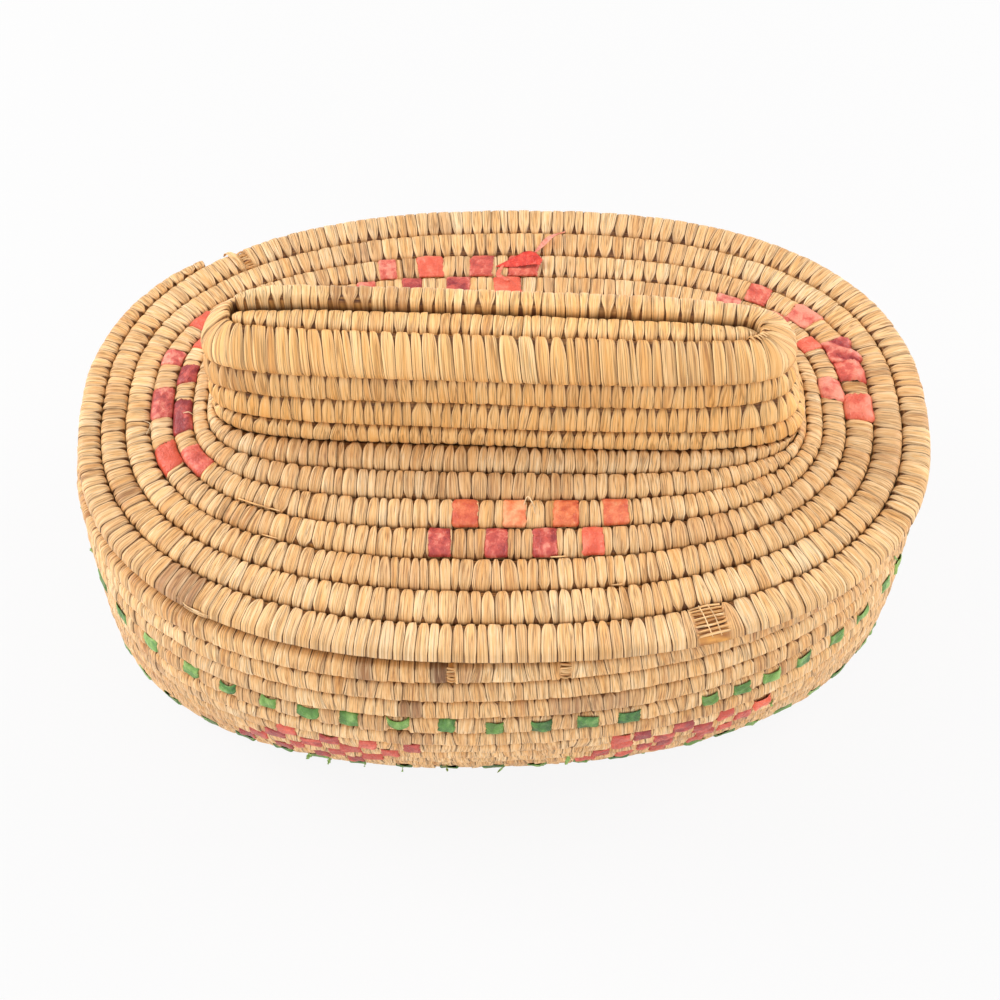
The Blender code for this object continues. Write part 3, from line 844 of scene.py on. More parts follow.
@dataclass
class SewnCoil:
    """A coil and all its stitches, from which the surface of each round is cut.

    Places along the coil are lengths in metres along the middle of its row, and a stitch
    without a lean runs square across the row there.

    Args:
        form: where the coil runs.
        sewing: how it is stitched.
        start: first turn.
        stop: last turn.
        loop: the coil runs into its own start.
        groups: runs of stitches of another tone.
        bare: turns between which the stitches are worn away.
        covered: turns between which gut lies over the stitches.
        warm: turns and how golden the grass is painted there, as warm bounced light.
        leaning: turns and how much further the stitches lean there.
        blunt: turns and how much less the stitches narrow to their tips there.
        free: turn before which the row's low edge lies free.
    """

    form: CoilForm
    sewing: Sewing
    start: float
    stop: float
    loop: bool = False
    groups: tuple[ToneGroup, ...] = ()
    bare: Spans = ()
    covered: Spans = ()
    warm: Curve = ((0.0,), (0.0,))
    leaning: Curve = ((0.0,), (0.0,))
    blunt: Curve = ((0.0,), (1.0,))
    free: float = 0.0

    def __post_init__(self) -> None:
        """Measures the coil and lays out all the stitches."""
        self._measure()
        sewing, rng = self.sewing, np.random.default_rng(self.sewing.seed)
        length = self.travelled[-1]
        count = max(4, int(round(length / sewing.width)))
        widths = np.exp(rng.normal(0.0, sewing.spread, count))
        self.edges = np.concatenate([[0.0], np.cumsum(widths)]) * length / widths.sum()
        lean = sewing.lean + rng.normal(0.0, sewing.wander, count + 1)
        lean += sewing.lean_drift.values(self.edges, rng)
        lean += np.interp(np.interp(self.edges, self.travelled, self.fine), *self.leaning)
        self.leans = lean * sewing.width
        self.leans[[0, -1]] = 0.0
        place = (self.edges[1:] + self.edges[:-1]) / 2
        self.middles = np.interp(place, self.travelled, self.fine)
        self.height = rng.normal(0.0, sewing.unevenness, count)
        self.slant = rng.normal(0.0, sewing.roll, count)
        self.tip = np.clip(rng.normal(1.0, sewing.tips, (count, 1)), 0.3, 1.9)
        self.tip *= np.interp(self.middles, *self.blunt)[:, None]
        tone = sewing.tone + sewing.shades * rng.normal(0.0, 1.0, count)
        tone += sum(drift.values(place, rng) for drift in sewing.tone_drifts)
        grey = sewing.grey + sewing.grey_drift.values(place, rng)
        grey += sewing.greys * rng.normal(0.0, 1.0, count)
        odd = sewing.odd_drift.values(place, rng) > sewing.odd
        tone = np.where(odd, tone - 0.25, tone)
        grey = np.where(odd, grey + 0.5, grey)
        for group in self.groups:
            inside = (self.middles >= group.start) & (self.middles <= group.stop)
            tone = np.where(inside, group.tone + 0.08 * rng.normal(0.0, 1.0, count), tone)
            grey = np.where(inside, group.grey, grey)
        self.tone = np.clip(tone, -1.0, 1.0)
        self.grey = np.clip(grey, 0.0, 1.0)
        # Painted warm bounced light where the warm curve asks for it, and a golden tone that differs at
        # random from stitch to stitch.
        warm = np.interp(self.middles, *self.warm) + 0.12 * rng.normal(0.0, 1.0, count)
        self.golden_tone_and_bounce = np.clip(warm, 0.0, 1.0)
        self.key = rng.uniform(0.0, 100.0, count)

    def _measure(self) -> None:
        """Measures the row's middle line, and how far its two edges run ahead or behind."""
        self.fine = self.form.stations(self.start, self.stop)
        rails = self.form.rails(self.fine)
        middle = (rails.low + rails.high) / 2
        steps = np.linalg.norm(np.diff(middle, axis=0), axis=1)
        self.travelled = np.concatenate([[0.0], np.cumsum(steps)])
        ahead = unit(np.gradient(middle, axis=0))
        self.drift = np.sum((rails.high - rails.low) * ahead, axis=1)

    def reach_of(self, turn: float) -> float:
        """The length along the coil at a count of turns."""
        return float(np.interp(turn, self.fine, self.travelled))

    def turns_at(self, reach: np.ndarray, across: np.ndarray) -> np.ndarray:
        """The turns at lengths along the coil, for lines that run square across the row.

        Args:
            reach: lengths, whose last axis goes across the row.
            across: the shares of the row's width along that axis.

        Returns:
            The turns, in reach's shape.
        """
        turns = np.empty(reach.shape)
        for index, share in enumerate(across):
            line = np.maximum.accumulate(self.travelled + (share - 0.5) * self.drift)
            turns[..., index] = np.interp(reach[..., index], line, self.fine)
        return turns

    def place(
        self, reach: np.ndarray, across: np.ndarray, side: np.ndarray, lift: np.ndarray
    ) -> np.ndarray:
        """Points over the coil's skin.

        Args:
            reach: lengths along the coil, whose last axis goes across the row.
            across: shares of the row's width. The lines are square for the mean of them.
            side: 1 on the outer side and -1 on the inner side.
            lift: height above the skin.

        Returns:
            Points, with one more axis than reach.
        """
        turns = self.turns_at(reach, across.reshape(-1, across.shape[-1]).mean(axis=0))
        wide = np.broadcast_to(across, turns.shape)
        return self.form.place(turns, wide, np.broadcast_to(side, turns.shape), lift)

    def _spans(self, spans: Spans, reach: np.ndarray) -> np.ndarray:
        """One inside these spans of turns, nothing outside, with a short slope between."""
        inside = np.zeros(reach.shape)
        for first, last in spans:
            low, high = self.reach_of(first), self.reach_of(last)
            depth = np.minimum(reach - low, high - reach) / (0.5 * MM)
            inside = np.maximum(inside, np.clip(depth + 0.5, 0.0, 1.0))
        return inside

    def surface(self, start: float, stop: float) -> Grid:
        """The skin of the coil between two counts of turns.

        Each stitch has a column of points in the middle of the gap before it, one on the
        gap's floor beside it, columns across itself and one on the next gap's floor. Going
        round the section, the points run over the outer side from the low edge to the high
        edge and back along the inner side.

        Args:
            start: the round's first turn.
            stop: the round's last turn.

        Returns:
            A grid, whose rows are the columns across stitches.
        """
        sewing = self.sewing
        chosen = np.nonzero((self.middles >= start) & (self.middles < stop))[0]
        first, last = chosen[0], chosen[-1] + 1
        stitches, beyond = slice(first, last), slice(first + 1, last + 1)
        inner = np.linspace(1.0, 0.0, sewing.inner + 2)[1:-1]
        across = np.concatenate([self._shares(sewing.outer), inner])
        side = np.concatenate([np.ones(sewing.outer), -np.ones(sewing.inner)])
        keep, notch = self._kept_width(across, side, stitches)
        steps = np.linspace(-1.0, 1.0, sewing.columns)
        floor = (keep + 0.3 * (1 - keep))[:, None, :]
        spot = steps[None, :, None] * keep[:, None, :]
        spot = np.concatenate([-np.ones(floor.shape), -floor, spot, floor], axis=1)
        left = self.edges[stitches, None] + self.leans[stitches, None] * (across - 0.5)
        right = self.edges[beyond, None] + self.leans[beyond, None] * (across - 0.5)
        reach = left[:, None, :] + (spot + 1) / 2 * (right - left)[:, None, :]
        rise, gap, bare = self._rise(steps, across, side, notch, stitches)
        whole = np.ones(spot.shape)
        width = (self.edges[beyond] - self.edges[stitches])[:, None, None] / MM
        key = self.key[stitches, None, None] * whole
        blade = np.concatenate([[-1.3, -1.1], steps, [1.1]])[None, :, None] * whole
        # gap carries the painted shade in the gaps and the valleys between rows, rim a painted highlight
        # along each stitch's edges.
        marks = {
            "tone": self.tone[stitches, None, None] * whole,
            "grey": self.grey[stitches, None, None] * whole,
            "golden_tone_and_bounce": self.golden_tone_and_bounce[stitches, None, None] * whole,
            "gap": gap,
            "bare": bare,
            "rim": np.where(np.abs(blade) <= 1.0, blade**4, 0.0) * (1 - np.abs(2 * across - 1) ** 4),
            "thread": np.stack([blade * width / 2 + key, across * side * 10.0 * whole, key], axis=-1),
        }
        rows = spot.shape[0] * spot.shape[1]
        reach, rise = reach.reshape(rows, -1), rise.reshape(rows, -1)
        marks = {name: mark.reshape((rows,) + mark.shape[2:]) for name, mark in marks.items()}
        if not self.loop:
            end = self.edges[last] + self.leans[last] * (across - 0.5)
            reach = np.concatenate([reach, end[None]])
            rise = np.concatenate([rise, rise[:1]])
            marks = {name: np.concatenate([mark, mark[:1]]) for name, mark in marks.items()}
        outer = np.where(side > 0, 1.0, 0.0)
        worn = self._spans(self.bare, reach) * outer
        under = self._spans(self.covered, reach) * outer
        marks["bare"] = np.maximum(marks["bare"], worn)
        marks["gap"] = marks["gap"] * (1 - worn)
        marks["rim"] = marks["rim"] * (1 - worn)
        marks["run"] = np.stack([reach / MM, across * side * 9.0 + 0.0 * reach, 0.0 * reach], axis=-1)
        closed = self._closed(across)
        for share, depth in ((worn, 0.9 * MM), (under, 0.5 * MM)):
            share = share * (1 - closed)
            rise = rise * (1 - share) - depth * share
        points = self.place(reach, across, side, rise)
        return Grid(points, marks, loop=self.loop)

    @staticmethod
    def _shares(count: int) -> np.ndarray:
        """Shares of the row's width, closer together near both edges."""
        even = np.linspace(-1.0, 1.0, count)
        return 0.5 + 0.5 * np.sin(even * math.pi / 2) * (0.75 + 0.25 * np.abs(even))

    @staticmethod
    def _closed(across: np.ndarray) -> np.ndarray:
        """How far a share of the row's width is in the seam with the next row, from 0 to 1."""
        return np.abs(2 * across - 1) ** 24

    def _kept_width(
        self, across: np.ndarray, side: np.ndarray, stitches: slice
    ) -> tuple[np.ndarray, np.ndarray]:
        """How much of its room each stitch fills across the row, and where it is notched."""
        sewing, tip = self.sewing, self.tip[stitches]
        low = sewing.low.width(across, 2 - tip)
        low = np.where(self.middles[stitches, None] < self.free, np.maximum(low, 0.93), low)
        outer = sewing.keep * sewing.high.width(1 - across, tip) * low
        notch = np.where(side > 0, np.clip(2.2 * (sewing.keep - outer), 0.0, 1.0), 0.0)
        return np.where(side > 0, outer, sewing.keep), notch

    def _rise(
        self,
        steps: np.ndarray,
        across: np.ndarray,
        side: np.ndarray,
        notch: np.ndarray,
        stitches: slice,
    ) -> tuple[np.ndarray, np.ndarray, np.ndarray]:
        """Height of each point over the coil's skin, and what shows there.

        Args:
            steps: places across the stitch itself, from -1 to 1.
            across: shares of the row's width.
            side: 1 on the outer side and -1 on the inner side.
            notch: how much each stitch is narrowed at each share.
            stitches: which stitches these are.

        Returns:
            The heights, how much painted shade falls there from 0 to 1, deep in the gaps and in
            the valleys between rows, and how much of the bundle shows from 0 to 1, each of them
            stitches x columns x points round the section.
        """
        sewing = self.sewing
        crown = (1 - np.abs(steps) ** 2.4)[None, :, None]
        over = sewing.crown * crown + self.height[stitches, None, None]
        over = over + self.slant[stitches, None, None] * steps[None, :, None]
        # The stitches press into the bundle where they go through it.
        pressed, closed = np.abs(2 * across - 1) ** 6, self._closed(across)
        over = over * (1 - 0.7 * pressed) + 0.2 * MM * closed
        deep = sewing.gap + (sewing.notch - sewing.gap) * notch
        floor = (0.2 * MM * closed - deep * (1 - 0.4 * pressed) * (1 - closed))[:, None, :]
        rise = np.concatenate([floor, floor, over, floor], axis=1)
        rise = rise + np.where(side > 0, sewing.tilt * (1 - 2 * across), 0.0)
        # Painted shade: dark on the gaps' floors and walls, lighter on a notch's open floor, and in the
        # valleys where one row meets the next, though not along a free low edge.
        middle, wall = (0.95 - 0.50 * notch)[:, None, :], (0.95 - 0.15 * notch)[:, None, :]
        lit = np.zeros(over.shape)
        dark = np.concatenate([middle, wall, lit, wall], axis=1)
        valley = np.clip((np.abs(2 * across - 1) - 0.95) / 0.05, 0.0, 1.0) * 0.65
        hidden = (self.middles[stitches, None, None] >= self.free) | (across > 0.5)
        valley = valley * hidden
        open_floor = np.clip(4 * notch, 0.0, 1.0)[:, None, :]
        bundle = np.concatenate([open_floor, open_floor, lit, open_floor], axis=1)
        return rise, np.maximum(dark, valley), bundle


class Graph:
    """Adds nodes to a tree and joins them."""

    def __init__(self, tree: NodeTree) -> None:
        """Keeps the tree."""
        self.tree = tree

    def add(self, kind: str, settings: dict | None = None, **inputs: object) -> Node:
        """Adds a node.

        Args:
            kind: the node's type.
            settings: values of the node's own properties.
            **inputs: its inputs, as feed() takes them.

        Returns:
            The node.
        """
        node = self.tree.nodes.new(kind)
        for name, value in (settings or {}).items():
            setattr(node, name, value)
        self.feed(node, **inputs)
        return node

    def feed(self, node: Node, **inputs: object) -> None:
        """Sets some inputs of a node.

        Args:
            node: the node.
            **inputs: for each input, by its name with _ for a space or by i and its
                number, a plain value or the output that feeds it.
        """
        for name, value in inputs.items():
            number = name[1:]
            key = int(number) if name[0] == "i" and number.isdigit() else name.replace("_", " ")
            if isinstance(value, NodeSocket):
                self.tree.links.new(value, node.inputs[key])
            else:
                node.inputs[key].default_value = value

    def math(self, operation: str, *values: object) -> NodeSocket:
        """The output of a math node on these values."""
        inputs = {f"i{i}": value for i, value in enumerate(values)}
        return self.add("ShaderNodeMath", {"operation": operation}, **inputs).outputs[0]

    def mix(self, share: object, first: object, second: object) -> NodeSocket:
        """The output of a colour mix."""
        return self.add("ShaderNodeMix", {"data_type": "RGBA"}, i0=share, i6=first, i7=second).outputs[2]

    def mix_value(self, share: object, first: object, second: object) -> NodeSocket:
        """The output of a mix of two plain values."""
        return self.add("ShaderNodeMix", {"data_type": "FLOAT"}, i0=share, i2=first, i3=second).outputs[0]

    def swing(self, value: NodeSocket, size: float) -> NodeSocket:
        """A value between 0 and 1 made to swing about 0, by this much from end to end."""
        return self.math("MULTIPLY_ADD", value, size, -size / 2)

    def attribute(self, name: str, output: str = "Fac") -> NodeSocket:
        """A value kept in the mesh."""
        return self.add("ShaderNodeAttribute", {"attribute_name": name}).outputs[output]

    def stretched(self, place: NodeSocket, x: float, y: float) -> NodeSocket:
        """A place with its first two parts multiplied."""
        settings = {"operation": "MULTIPLY"}
        return self.add("ShaderNodeVectorMath", settings, i0=place, i1=(x, y, 1.0)).outputs[0]

    def line(self, value: NodeSocket, middle: float, reach: float) -> NodeSocket:
        """One where a value is at its middle, falling to nothing at its reach."""
        away = self.math("ABSOLUTE", self.math("SUBTRACT", value, middle))
        return self.add("ShaderNodeMapRange", i0=away, i1=0.0, i2=reach, i3=1.0, i4=0.0).outputs[0]

    def put_out(self, *values: NodeSocket) -> None:
        """Joins values to the group's outputs."""
        ends = self.add("NodeGroupOutput")
        for number, value in enumerate(values):
            self.tree.links.new(value, ends.inputs[number])

    def ramp(self, share: NodeSocket, stops: list[tuple[float, tuple]]) -> NodeSocket:
        """A colour ramp with these stops."""
        node = self.add("ShaderNodeValToRGB", i0=share)
        points = node.color_ramp.elements
        while len(points) < len(stops):
            points.new(0.5)
        for point, (place, colour) in zip(points, stops):
            point.position = place
            point.color = colour
        return node.outputs[0]


def srgb(red: int, green: int, blue: int) -> Colour:
    """A colour written as three numbers up to 255, as the shaders want it."""
    values = np.array([red, green, blue]) / 255.0
    linear = np.where(values <= 0.04045, values / 12.92, ((values + 0.055) / 1.055) ** 2.4)
    return (*linear.tolist(), 1.0)


def new_group(name: str, outputs: tuple[str, ...]) -> tuple[Graph, NodeSocket]:
    """An empty node group that takes a place and puts out values.

    Args:
        name: the group's name.
        outputs: names of the values it puts out.

    Returns:
        Its graph and the place that it is given.
    """
    tree = bpy.data.node_groups.new(name, "ShaderNodeTree")
    tree.interface.new_socket("Place", in_out="INPUT", socket_type="NodeSocketVector")
    for output in outputs:
        tree.interface.new_socket(output, in_out="OUTPUT", socket_type="NodeSocketFloat")
    graph = Graph(tree)
    return graph, graph.add("NodeGroupInput").outputs[0]


@cache
def fibre_group() -> NodeTree:
    """A node group that draws the fine lines along a blade of grass.

    Returns:
        The group. It takes a place on the blade in millimetres and puts out a streak
        value, a coarser blotch value, the dark splits and the pale ribs beside them.
    """
    graph, source = new_group("fibre_lines", ("Streak", "Blotch", "Split", "Rib"))
    fine = graph.stretched(source, 1.5, 0.12)
    streak = graph.add("ShaderNodeTexNoise", Vector=fine, Scale=1.0, Detail=3.0, Roughness=0.62)
    broad = graph.stretched(source, 0.45, 0.22)
    blotch = graph.add("ShaderNodeTexNoise", Vector=broad, Scale=1.0, Detail=2.0, Roughness=0.5)
    cutting = graph.stretched(source, 1.25, 0.05)
    cut = graph.add("ShaderNodeTexNoise", Vector=cutting, Scale=1.0, Detail=1.0, Roughness=0.5)
    split = graph.line(cut.outputs[0], 0.52, 0.055)
    rib = graph.line(cut.outputs[0], 0.42, 0.055)
    graph.put_out(streak.outputs[0], blotch.outputs[0], split, rib)
    return graph.tree


@cache
def crumple_group() -> NodeTree:
    """A node group that draws the creases of a dried skin.

    Returns:
        The group. It takes a place in millimetres and puts out a crease height, a blotch
        value and the sharp ridges of its folds.
    """
    graph, source = new_group("skin_creases", ("Crease", "Blotch", "Ridge"))
    bent = graph.add("ShaderNodeTexNoise", Vector=source, Scale=0.5, Detail=2.0)
    offset = graph.add("ShaderNodeVectorMath", {"operation": "SCALE"}, i0=bent.outputs[1], Scale=2.4)
    warped = graph.add("ShaderNodeVectorMath", i0=source, i1=offset.outputs[0]).outputs[0]
    edges = {"feature": "DISTANCE_TO_EDGE"}
    cells = graph.add("ShaderNodeTexVoronoi", edges, Vector=warped, Scale=0.27)
    ridge = graph.line(cells.outputs[0], 0.0, 0.07)
    noise = graph.add("ShaderNodeTexNoise", Vector=source, Scale=0.9, Detail=4.0, Roughness=0.65)
    blotch = graph.add("ShaderNodeTexNoise", Vector=source, Scale=0.32, Detail=3.0, Roughness=0.6)
    height = graph.math("MULTIPLY_ADD", ridge, 0.22, noise.outputs[0])
    graph.put_out(height, blotch.outputs[0], ridge)
    return graph.tree


def new_material(name: str) -> tuple[Material, Graph, Node]:
    """An empty material, its graph and its Principled shader."""
    material = bpy.data.materials.new(name)
    material.use_nodes = True
    graph = Graph(material.node_tree)
    return material, graph, material.node_tree.nodes["Principled BSDF"]


@dataclass(frozen=True)
class GrassFinish:
    """Dried grass, with a tone for each stitch.

    Args:
        name: the material's name.
        dark: colour of the darkest tone.
        warm: colour of a tone under the middle.
        light: colour of a tone over the middle.
        pale: colour of the palest tone, also of the painted highlight along each stitch's edges.
        grey: colour of a weathered stitch.
        golden: colour of a stitch's golden tone, which differs at random, and of the painted warm bounced
            light on the knob's lower rows.
        shadow: colour of the painted shade deep in a gap, also the dark brown of burnt stitches, of the
            splits and of the bundle's darkest stems.
        roughness: how dull it is.
        gloss: how much it mirrors, by the shader's own measure.
        streaks: how much the fine lines along a blade change its tone.
        blotches: how much the coarser ones do.
    """

    name: str
    dark: Colour = srgb(168, 110, 60)
    warm: Colour = srgb(213, 157, 94)
    light: Colour = srgb(232, 184, 124)
    pale: Colour = srgb(241, 209, 164)
    grey: Colour = srgb(190, 150, 110)
    golden: Colour = srgb(224, 160, 80)
    shadow: Colour = srgb(88, 54, 30)
    roughness: float = 0.50
    gloss: float = 0.35
    streaks: float = 1.7
    blotches: float = 0.4

    def material(self) -> Material:
        """Builds the material."""
        material, graph, shader = new_material(self.name)
        group = {"node_tree": fibre_group()}
        fibres = graph.add("ShaderNodeGroup", group, Place=graph.attribute("thread", "Vector"))
        streak, blotch, split, rib = fibres.outputs
        tone = graph.attribute("tone")
        waves = graph.math("ADD", graph.swing(streak, self.streaks), graph.swing(blotch, self.blotches))
        level = graph.math("ADD", tone, waves)
        stops = [(0.0, self.dark), (0.34, self.warm), (0.66, self.light), (1.0, self.pale)]
        grass = graph.ramp(level, stops)
        weathered = graph.math("MULTIPLY", graph.attribute("grey"), 0.62)
        grass = graph.mix(weathered, grass, self.grey)
        # Golden tone of each stitch, and painted warm bounced light on the knob's lower rows.
        golden_tone_and_bounce = graph.math("MULTIPLY", graph.attribute("golden_tone_and_bounce"), 0.6)
        grass = graph.mix(golden_tone_and_bounce, grass, self.golden)
        burnt = graph.math("MULTIPLY", graph.math("MINIMUM", tone, 0.0), -0.7)
        grass = graph.mix(burnt, grass, self.shadow)
        # Painted highlight along each stitch's edges, with the pale ribs of the grain.
        ribs = graph.math("MULTIPLY", rib, 0.3)
        edge_highlight_and_ribs = graph.math("MULTIPLY_ADD", graph.attribute("rim"), 0.45, ribs)
        grass = graph.mix(edge_highlight_and_ribs, grass, self.pale)
        grass = graph.mix(graph.math("MULTIPLY", split, 0.55), grass, self.shadow)
        # The bundle's stems run along the coil.
        stems = graph.stretched(graph.attribute("run", "Vector"), 0.05, 1.3)
        stem = graph.add("ShaderNodeTexNoise", Vector=stems, Scale=1.0, Detail=2.0, Roughness=0.6)
        bundle_stops = [(0.36, self.shadow), (0.5, self.dark), (0.62, self.golden)]
        bundle = graph.ramp(stem.outputs[0], bundle_stops)
        bare = graph.attribute("bare")
        grass = graph.mix(bare, grass, bundle)
        # Painted shade in the gaps between stitches and in the valleys between rows.
        grass = graph.mix(graph.attribute("gap"), grass, self.shadow)
        height = graph.math("SUBTRACT", streak, graph.math("MULTIPLY", split, 0.6))
        height = graph.mix_value(bare, height, stem.outputs[0])
        bump = graph.add("ShaderNodeBump", Strength=0.7, Distance=0.3 * MM, Height=height)
        graph.feed(shader, Base_Color=grass, Normal=bump.outputs[0])
        graph.feed(shader, Roughness=self.roughness, Specular_IOR_Level=self.gloss)
        return material


@dataclass(frozen=True)
class GutFinish:
    """Dyed seal gut: thin, crinkled and half glossy.

    Args:
        name: the material's name.
        deep: colour where the dye lies thick.
        main: its usual colour.
        faded: colour where it has worn, also painted as highlight along the ridges of its creases.
        other: the colour of a batch of dye that came out differently.
        roughness: how dull it is.
        gloss: how much it mirrors, by the shader's own measure.
        blotches: how much the dye's blotches change its tone.
    """

    name: str
    deep: Colour
    main: Colour
    faded: Colour
    other: Colour
    roughness: float = 0.36
    gloss: float = 0.5
    blotches: float = 2.0

    def material(self) -> Material:
        """Builds the material."""
        material, graph, shader = new_material(self.name)
        place = graph.attribute("skin", "Vector")
        creases = graph.add("ShaderNodeGroup", {"node_tree": crumple_group()}, Place=place)
        crease, blotch, ridge = creases.outputs
        tone = graph.math("ADD", graph.attribute("tone"), graph.swing(blotch, self.blotches))
        # Paler where the creases stand high and darker where they sink: painted highlight and shade on the
        # crumpled skin, with mottling.
        tone = graph.math("ADD", tone, graph.math("MULTIPLY_ADD", crease, 0.35, -0.2))
        stops = [(0.0, self.deep), (0.5, self.main), (1.0, self.faded)]
        colour = graph.ramp(tone, stops)
        colour = graph.mix(graph.math("MULTIPLY", graph.attribute("hue"), 0.8), colour, self.other)
        # Painted highlight along the crease ridges, in some blotches only.
        seen = graph.add("ShaderNodeMapRange", i0=blotch, i1=0.45, i2=0.65, i3=0.0, i4=0.12).outputs[0]
        colour = graph.mix(graph.math("MULTIPLY", ridge, seen), colour, self.faded)
        bump = graph.add("ShaderNodeBump", Strength=0.9, Distance=0.6 * MM, Height=crease)
        graph.feed(shader, Base_Color=colour, Normal=bump.outputs[0])
        graph.feed(shader, Roughness=self.roughness, Specular_IOR_Level=self.gloss)
        return material


FINISHES = {
    Slot.STRAW: GrassFinish("straw_grass"),
    # A warmer copy of the straw for the whole knob, partly painted warm bounced light under its top ring.
    Slot.GOLDEN: GrassFinish(
        "golden_grass",
        dark=srgb(182, 122, 66),
        warm=srgb(224, 163, 92),
        light=srgb(239, 188, 122),
        pale=srgb(246, 212, 160),
        grey=srgb(190, 150, 106),
        golden=srgb(240, 178, 98),
    ),
    Slot.ROSE: GutFinish(
        "rose_gut", srgb(142, 40, 44), srgb(200, 84, 72), srgb(240, 158, 134), srgb(234, 98, 62)
    ),
    Slot.ORANGE: GutFinish(
        "orange_gut", srgb(196, 78, 46), srgb(232, 126, 78), srgb(246, 172, 122), srgb(214, 92, 72)
    ),
    Slot.GREEN: GutFinish(
        "green_gut", srgb(34, 84, 30), srgb(78, 130, 54), srgb(146, 182, 104), srgb(150, 180, 60)
    ),
}
# The torn flap is brighter than the patches that are sewn down.
BRIGHT = GutFinish(
    "bright_gut", srgb(188, 36, 26), srgb(224, 58, 40), srgb(240, 112, 84), srgb(214, 52, 40)
)


@dataclass(frozen=True)
class Patch:
    """A square of gut sewn over a coil.

    Args:
        start: turn at which it starts.
        stop: turn at which it stops.
        low: share of the row at which it starts.
        high: share of the row at which it stops.
        lift: height over the stitches.
        crumple: height of its folds.
        folds: how close together the folds are.
        tone: from 0, deep, to 1, faded.
        hue: from 0, the finish's main colour, to 1, its other colour.
        sag: share of the row by which it hangs in the middle.
        slant: share of the row by which it slants towards its stop.
    """

    start: float
    stop: float
    low: float = 0.03
    high: float = 0.95
    lift: float = 0.35 * MM
    crumple: float = 0.30 * MM
    folds: float = 1.4
    tone: float = 0.5
    hue: float = 0.0
    sag: float = 0.0
    slant: float = 0.0


@dataclass
class GutBand:
    """The gut patches that one CAD band stands for.

    Args:
        node: the CAD node.
        body: the body it rides on.
        slot: its material slot.
        coil: the coil on which it lies.
        patches: the patches.
        thick: thickness of the gut.
        dip: how far the ends of a patch dip under the stitches' tops.
        askew: how much the patches differ in their slope along the coil.
        ragged: how much their ends are torn, as a share of their length.
        uneven: how much their tones differ.
    """

    node: str
    body: Body
    slot: Slot
    coil: SewnCoil
    patches: list[Patch]
    thick: float = 0.12 * MM
    dip: float = 0.3 * MM
    askew: float = 0.06
    ragged: float = 0.022
    uneven: float = 0.16

    def build(self, wardrobe: Wardrobe) -> None:
        """Makes the patches as one object and hides the band they stand for."""
        rng = np.random.default_rng(sum(map(ord, self.node)))
        grids = [self._sheet(patch, rng) for patch in self.patches]
        wardrobe.dress(self.node + "_patches", grids, self.body, self.slot, self.node)

    def _sheet(self, patch: Patch, rng: np.random.Generator, rows: int = 21, columns: int = 17) -> Grid:
        """One patch: a thin pillow whose edges dip under the stitches beside it.

        Its height is the lift, plus folds that are sums of bent waves, less a steep fall
        at both ends of the patch.
        """
        along = np.linspace(0.0, 1.0, rows)[:, None]
        across = np.linspace(0.0, 1.0, columns)[None, :]
        folds = np.zeros((rows, columns))
        for _ in range(3):
            turn, phase = rng.uniform(0, math.pi), rng.uniform(0, 6)
            count = rng.uniform(0.5, 1.0) * patch.folds
            wave = (along * math.cos(turn) + across * math.sin(turn)) * count * math.pi + phase
            folds += (1 - np.abs(np.sin(wave + 0.6 * np.sin(3 * across + phase)))) * rng.uniform(0.4, 1.0)
        fold_shading = np.clip(0.5 + 0.3 * (folds - folds.mean()) / folds.std(), 0.0, 1.0)
        folds = (folds - folds.mean()) * patch.crumple
        dip = np.clip(1 - np.minimum(along, 1 - along) / 0.10, 0.0, 1.0) ** 2
        top = patch.lift + folds - dip * (patch.lift + self.dip)
        skew = rng.normal(0.0, self.askew)
        ragged = rng.normal(0.0, self.ragged, (2, columns))
        edge_shift = ragged[0][None] * (1 - along) + ragged[1][None] * along
        spread = along + skew * (across - 0.5) + edge_shift
        first, last = self.coil.reach_of(patch.start), self.coil.reach_of(patch.stop)
        reach = first + (last - first) * spread
        ends = (2 * along - 1) ** 2
        slant = patch.slant * (along - 0.5)
        low = np.clip(patch.low + patch.sag * (1 - ends) * 0.7 + slant, 0.0, 0.9)
        high = np.clip(patch.high - patch.sag * ends + slant, 0.1, 1.0)
        share = low + (high - low) * across
        both = [np.concatenate([part, part[:, ::-1]], axis=1) for part in (reach, share, fold_shading)]
        reach, share, fold_shading = both
        tilt = self.coil.sewing.tilt * (1 - 2 * share)
        lift = np.concatenate([top, top[:, ::-1] - self.thick], axis=1) + tilt
        points = self.coil.place(reach, share, np.ones(share.shape), lift)
        tone = np.full(lift.shape, np.clip(patch.tone + rng.normal(0.0, self.uneven), 0.0, 1.0))
        # Painted highlight on the fold ridges and painted shade in the fold valleys.
        tone += (fold_shading - 0.5) * min(patch.crumple / MM, 0.8)
        hue = np.full(lift.shape, patch.hue)
        key = rng.uniform(0.0, 50.0)
        length = float(np.linalg.norm(points[-1, 0] - points[0, 0])) / MM
        width = float(np.linalg.norm(points[0, columns - 1] - points[0, 0])) / MM
        far = along + 0.0 * share
        skin = np.stack([far * length + key, share * width, np.full(share.shape, key)], axis=-1)
        return Grid(points, {"tone": tone, "hue": hue, "skin": skin})


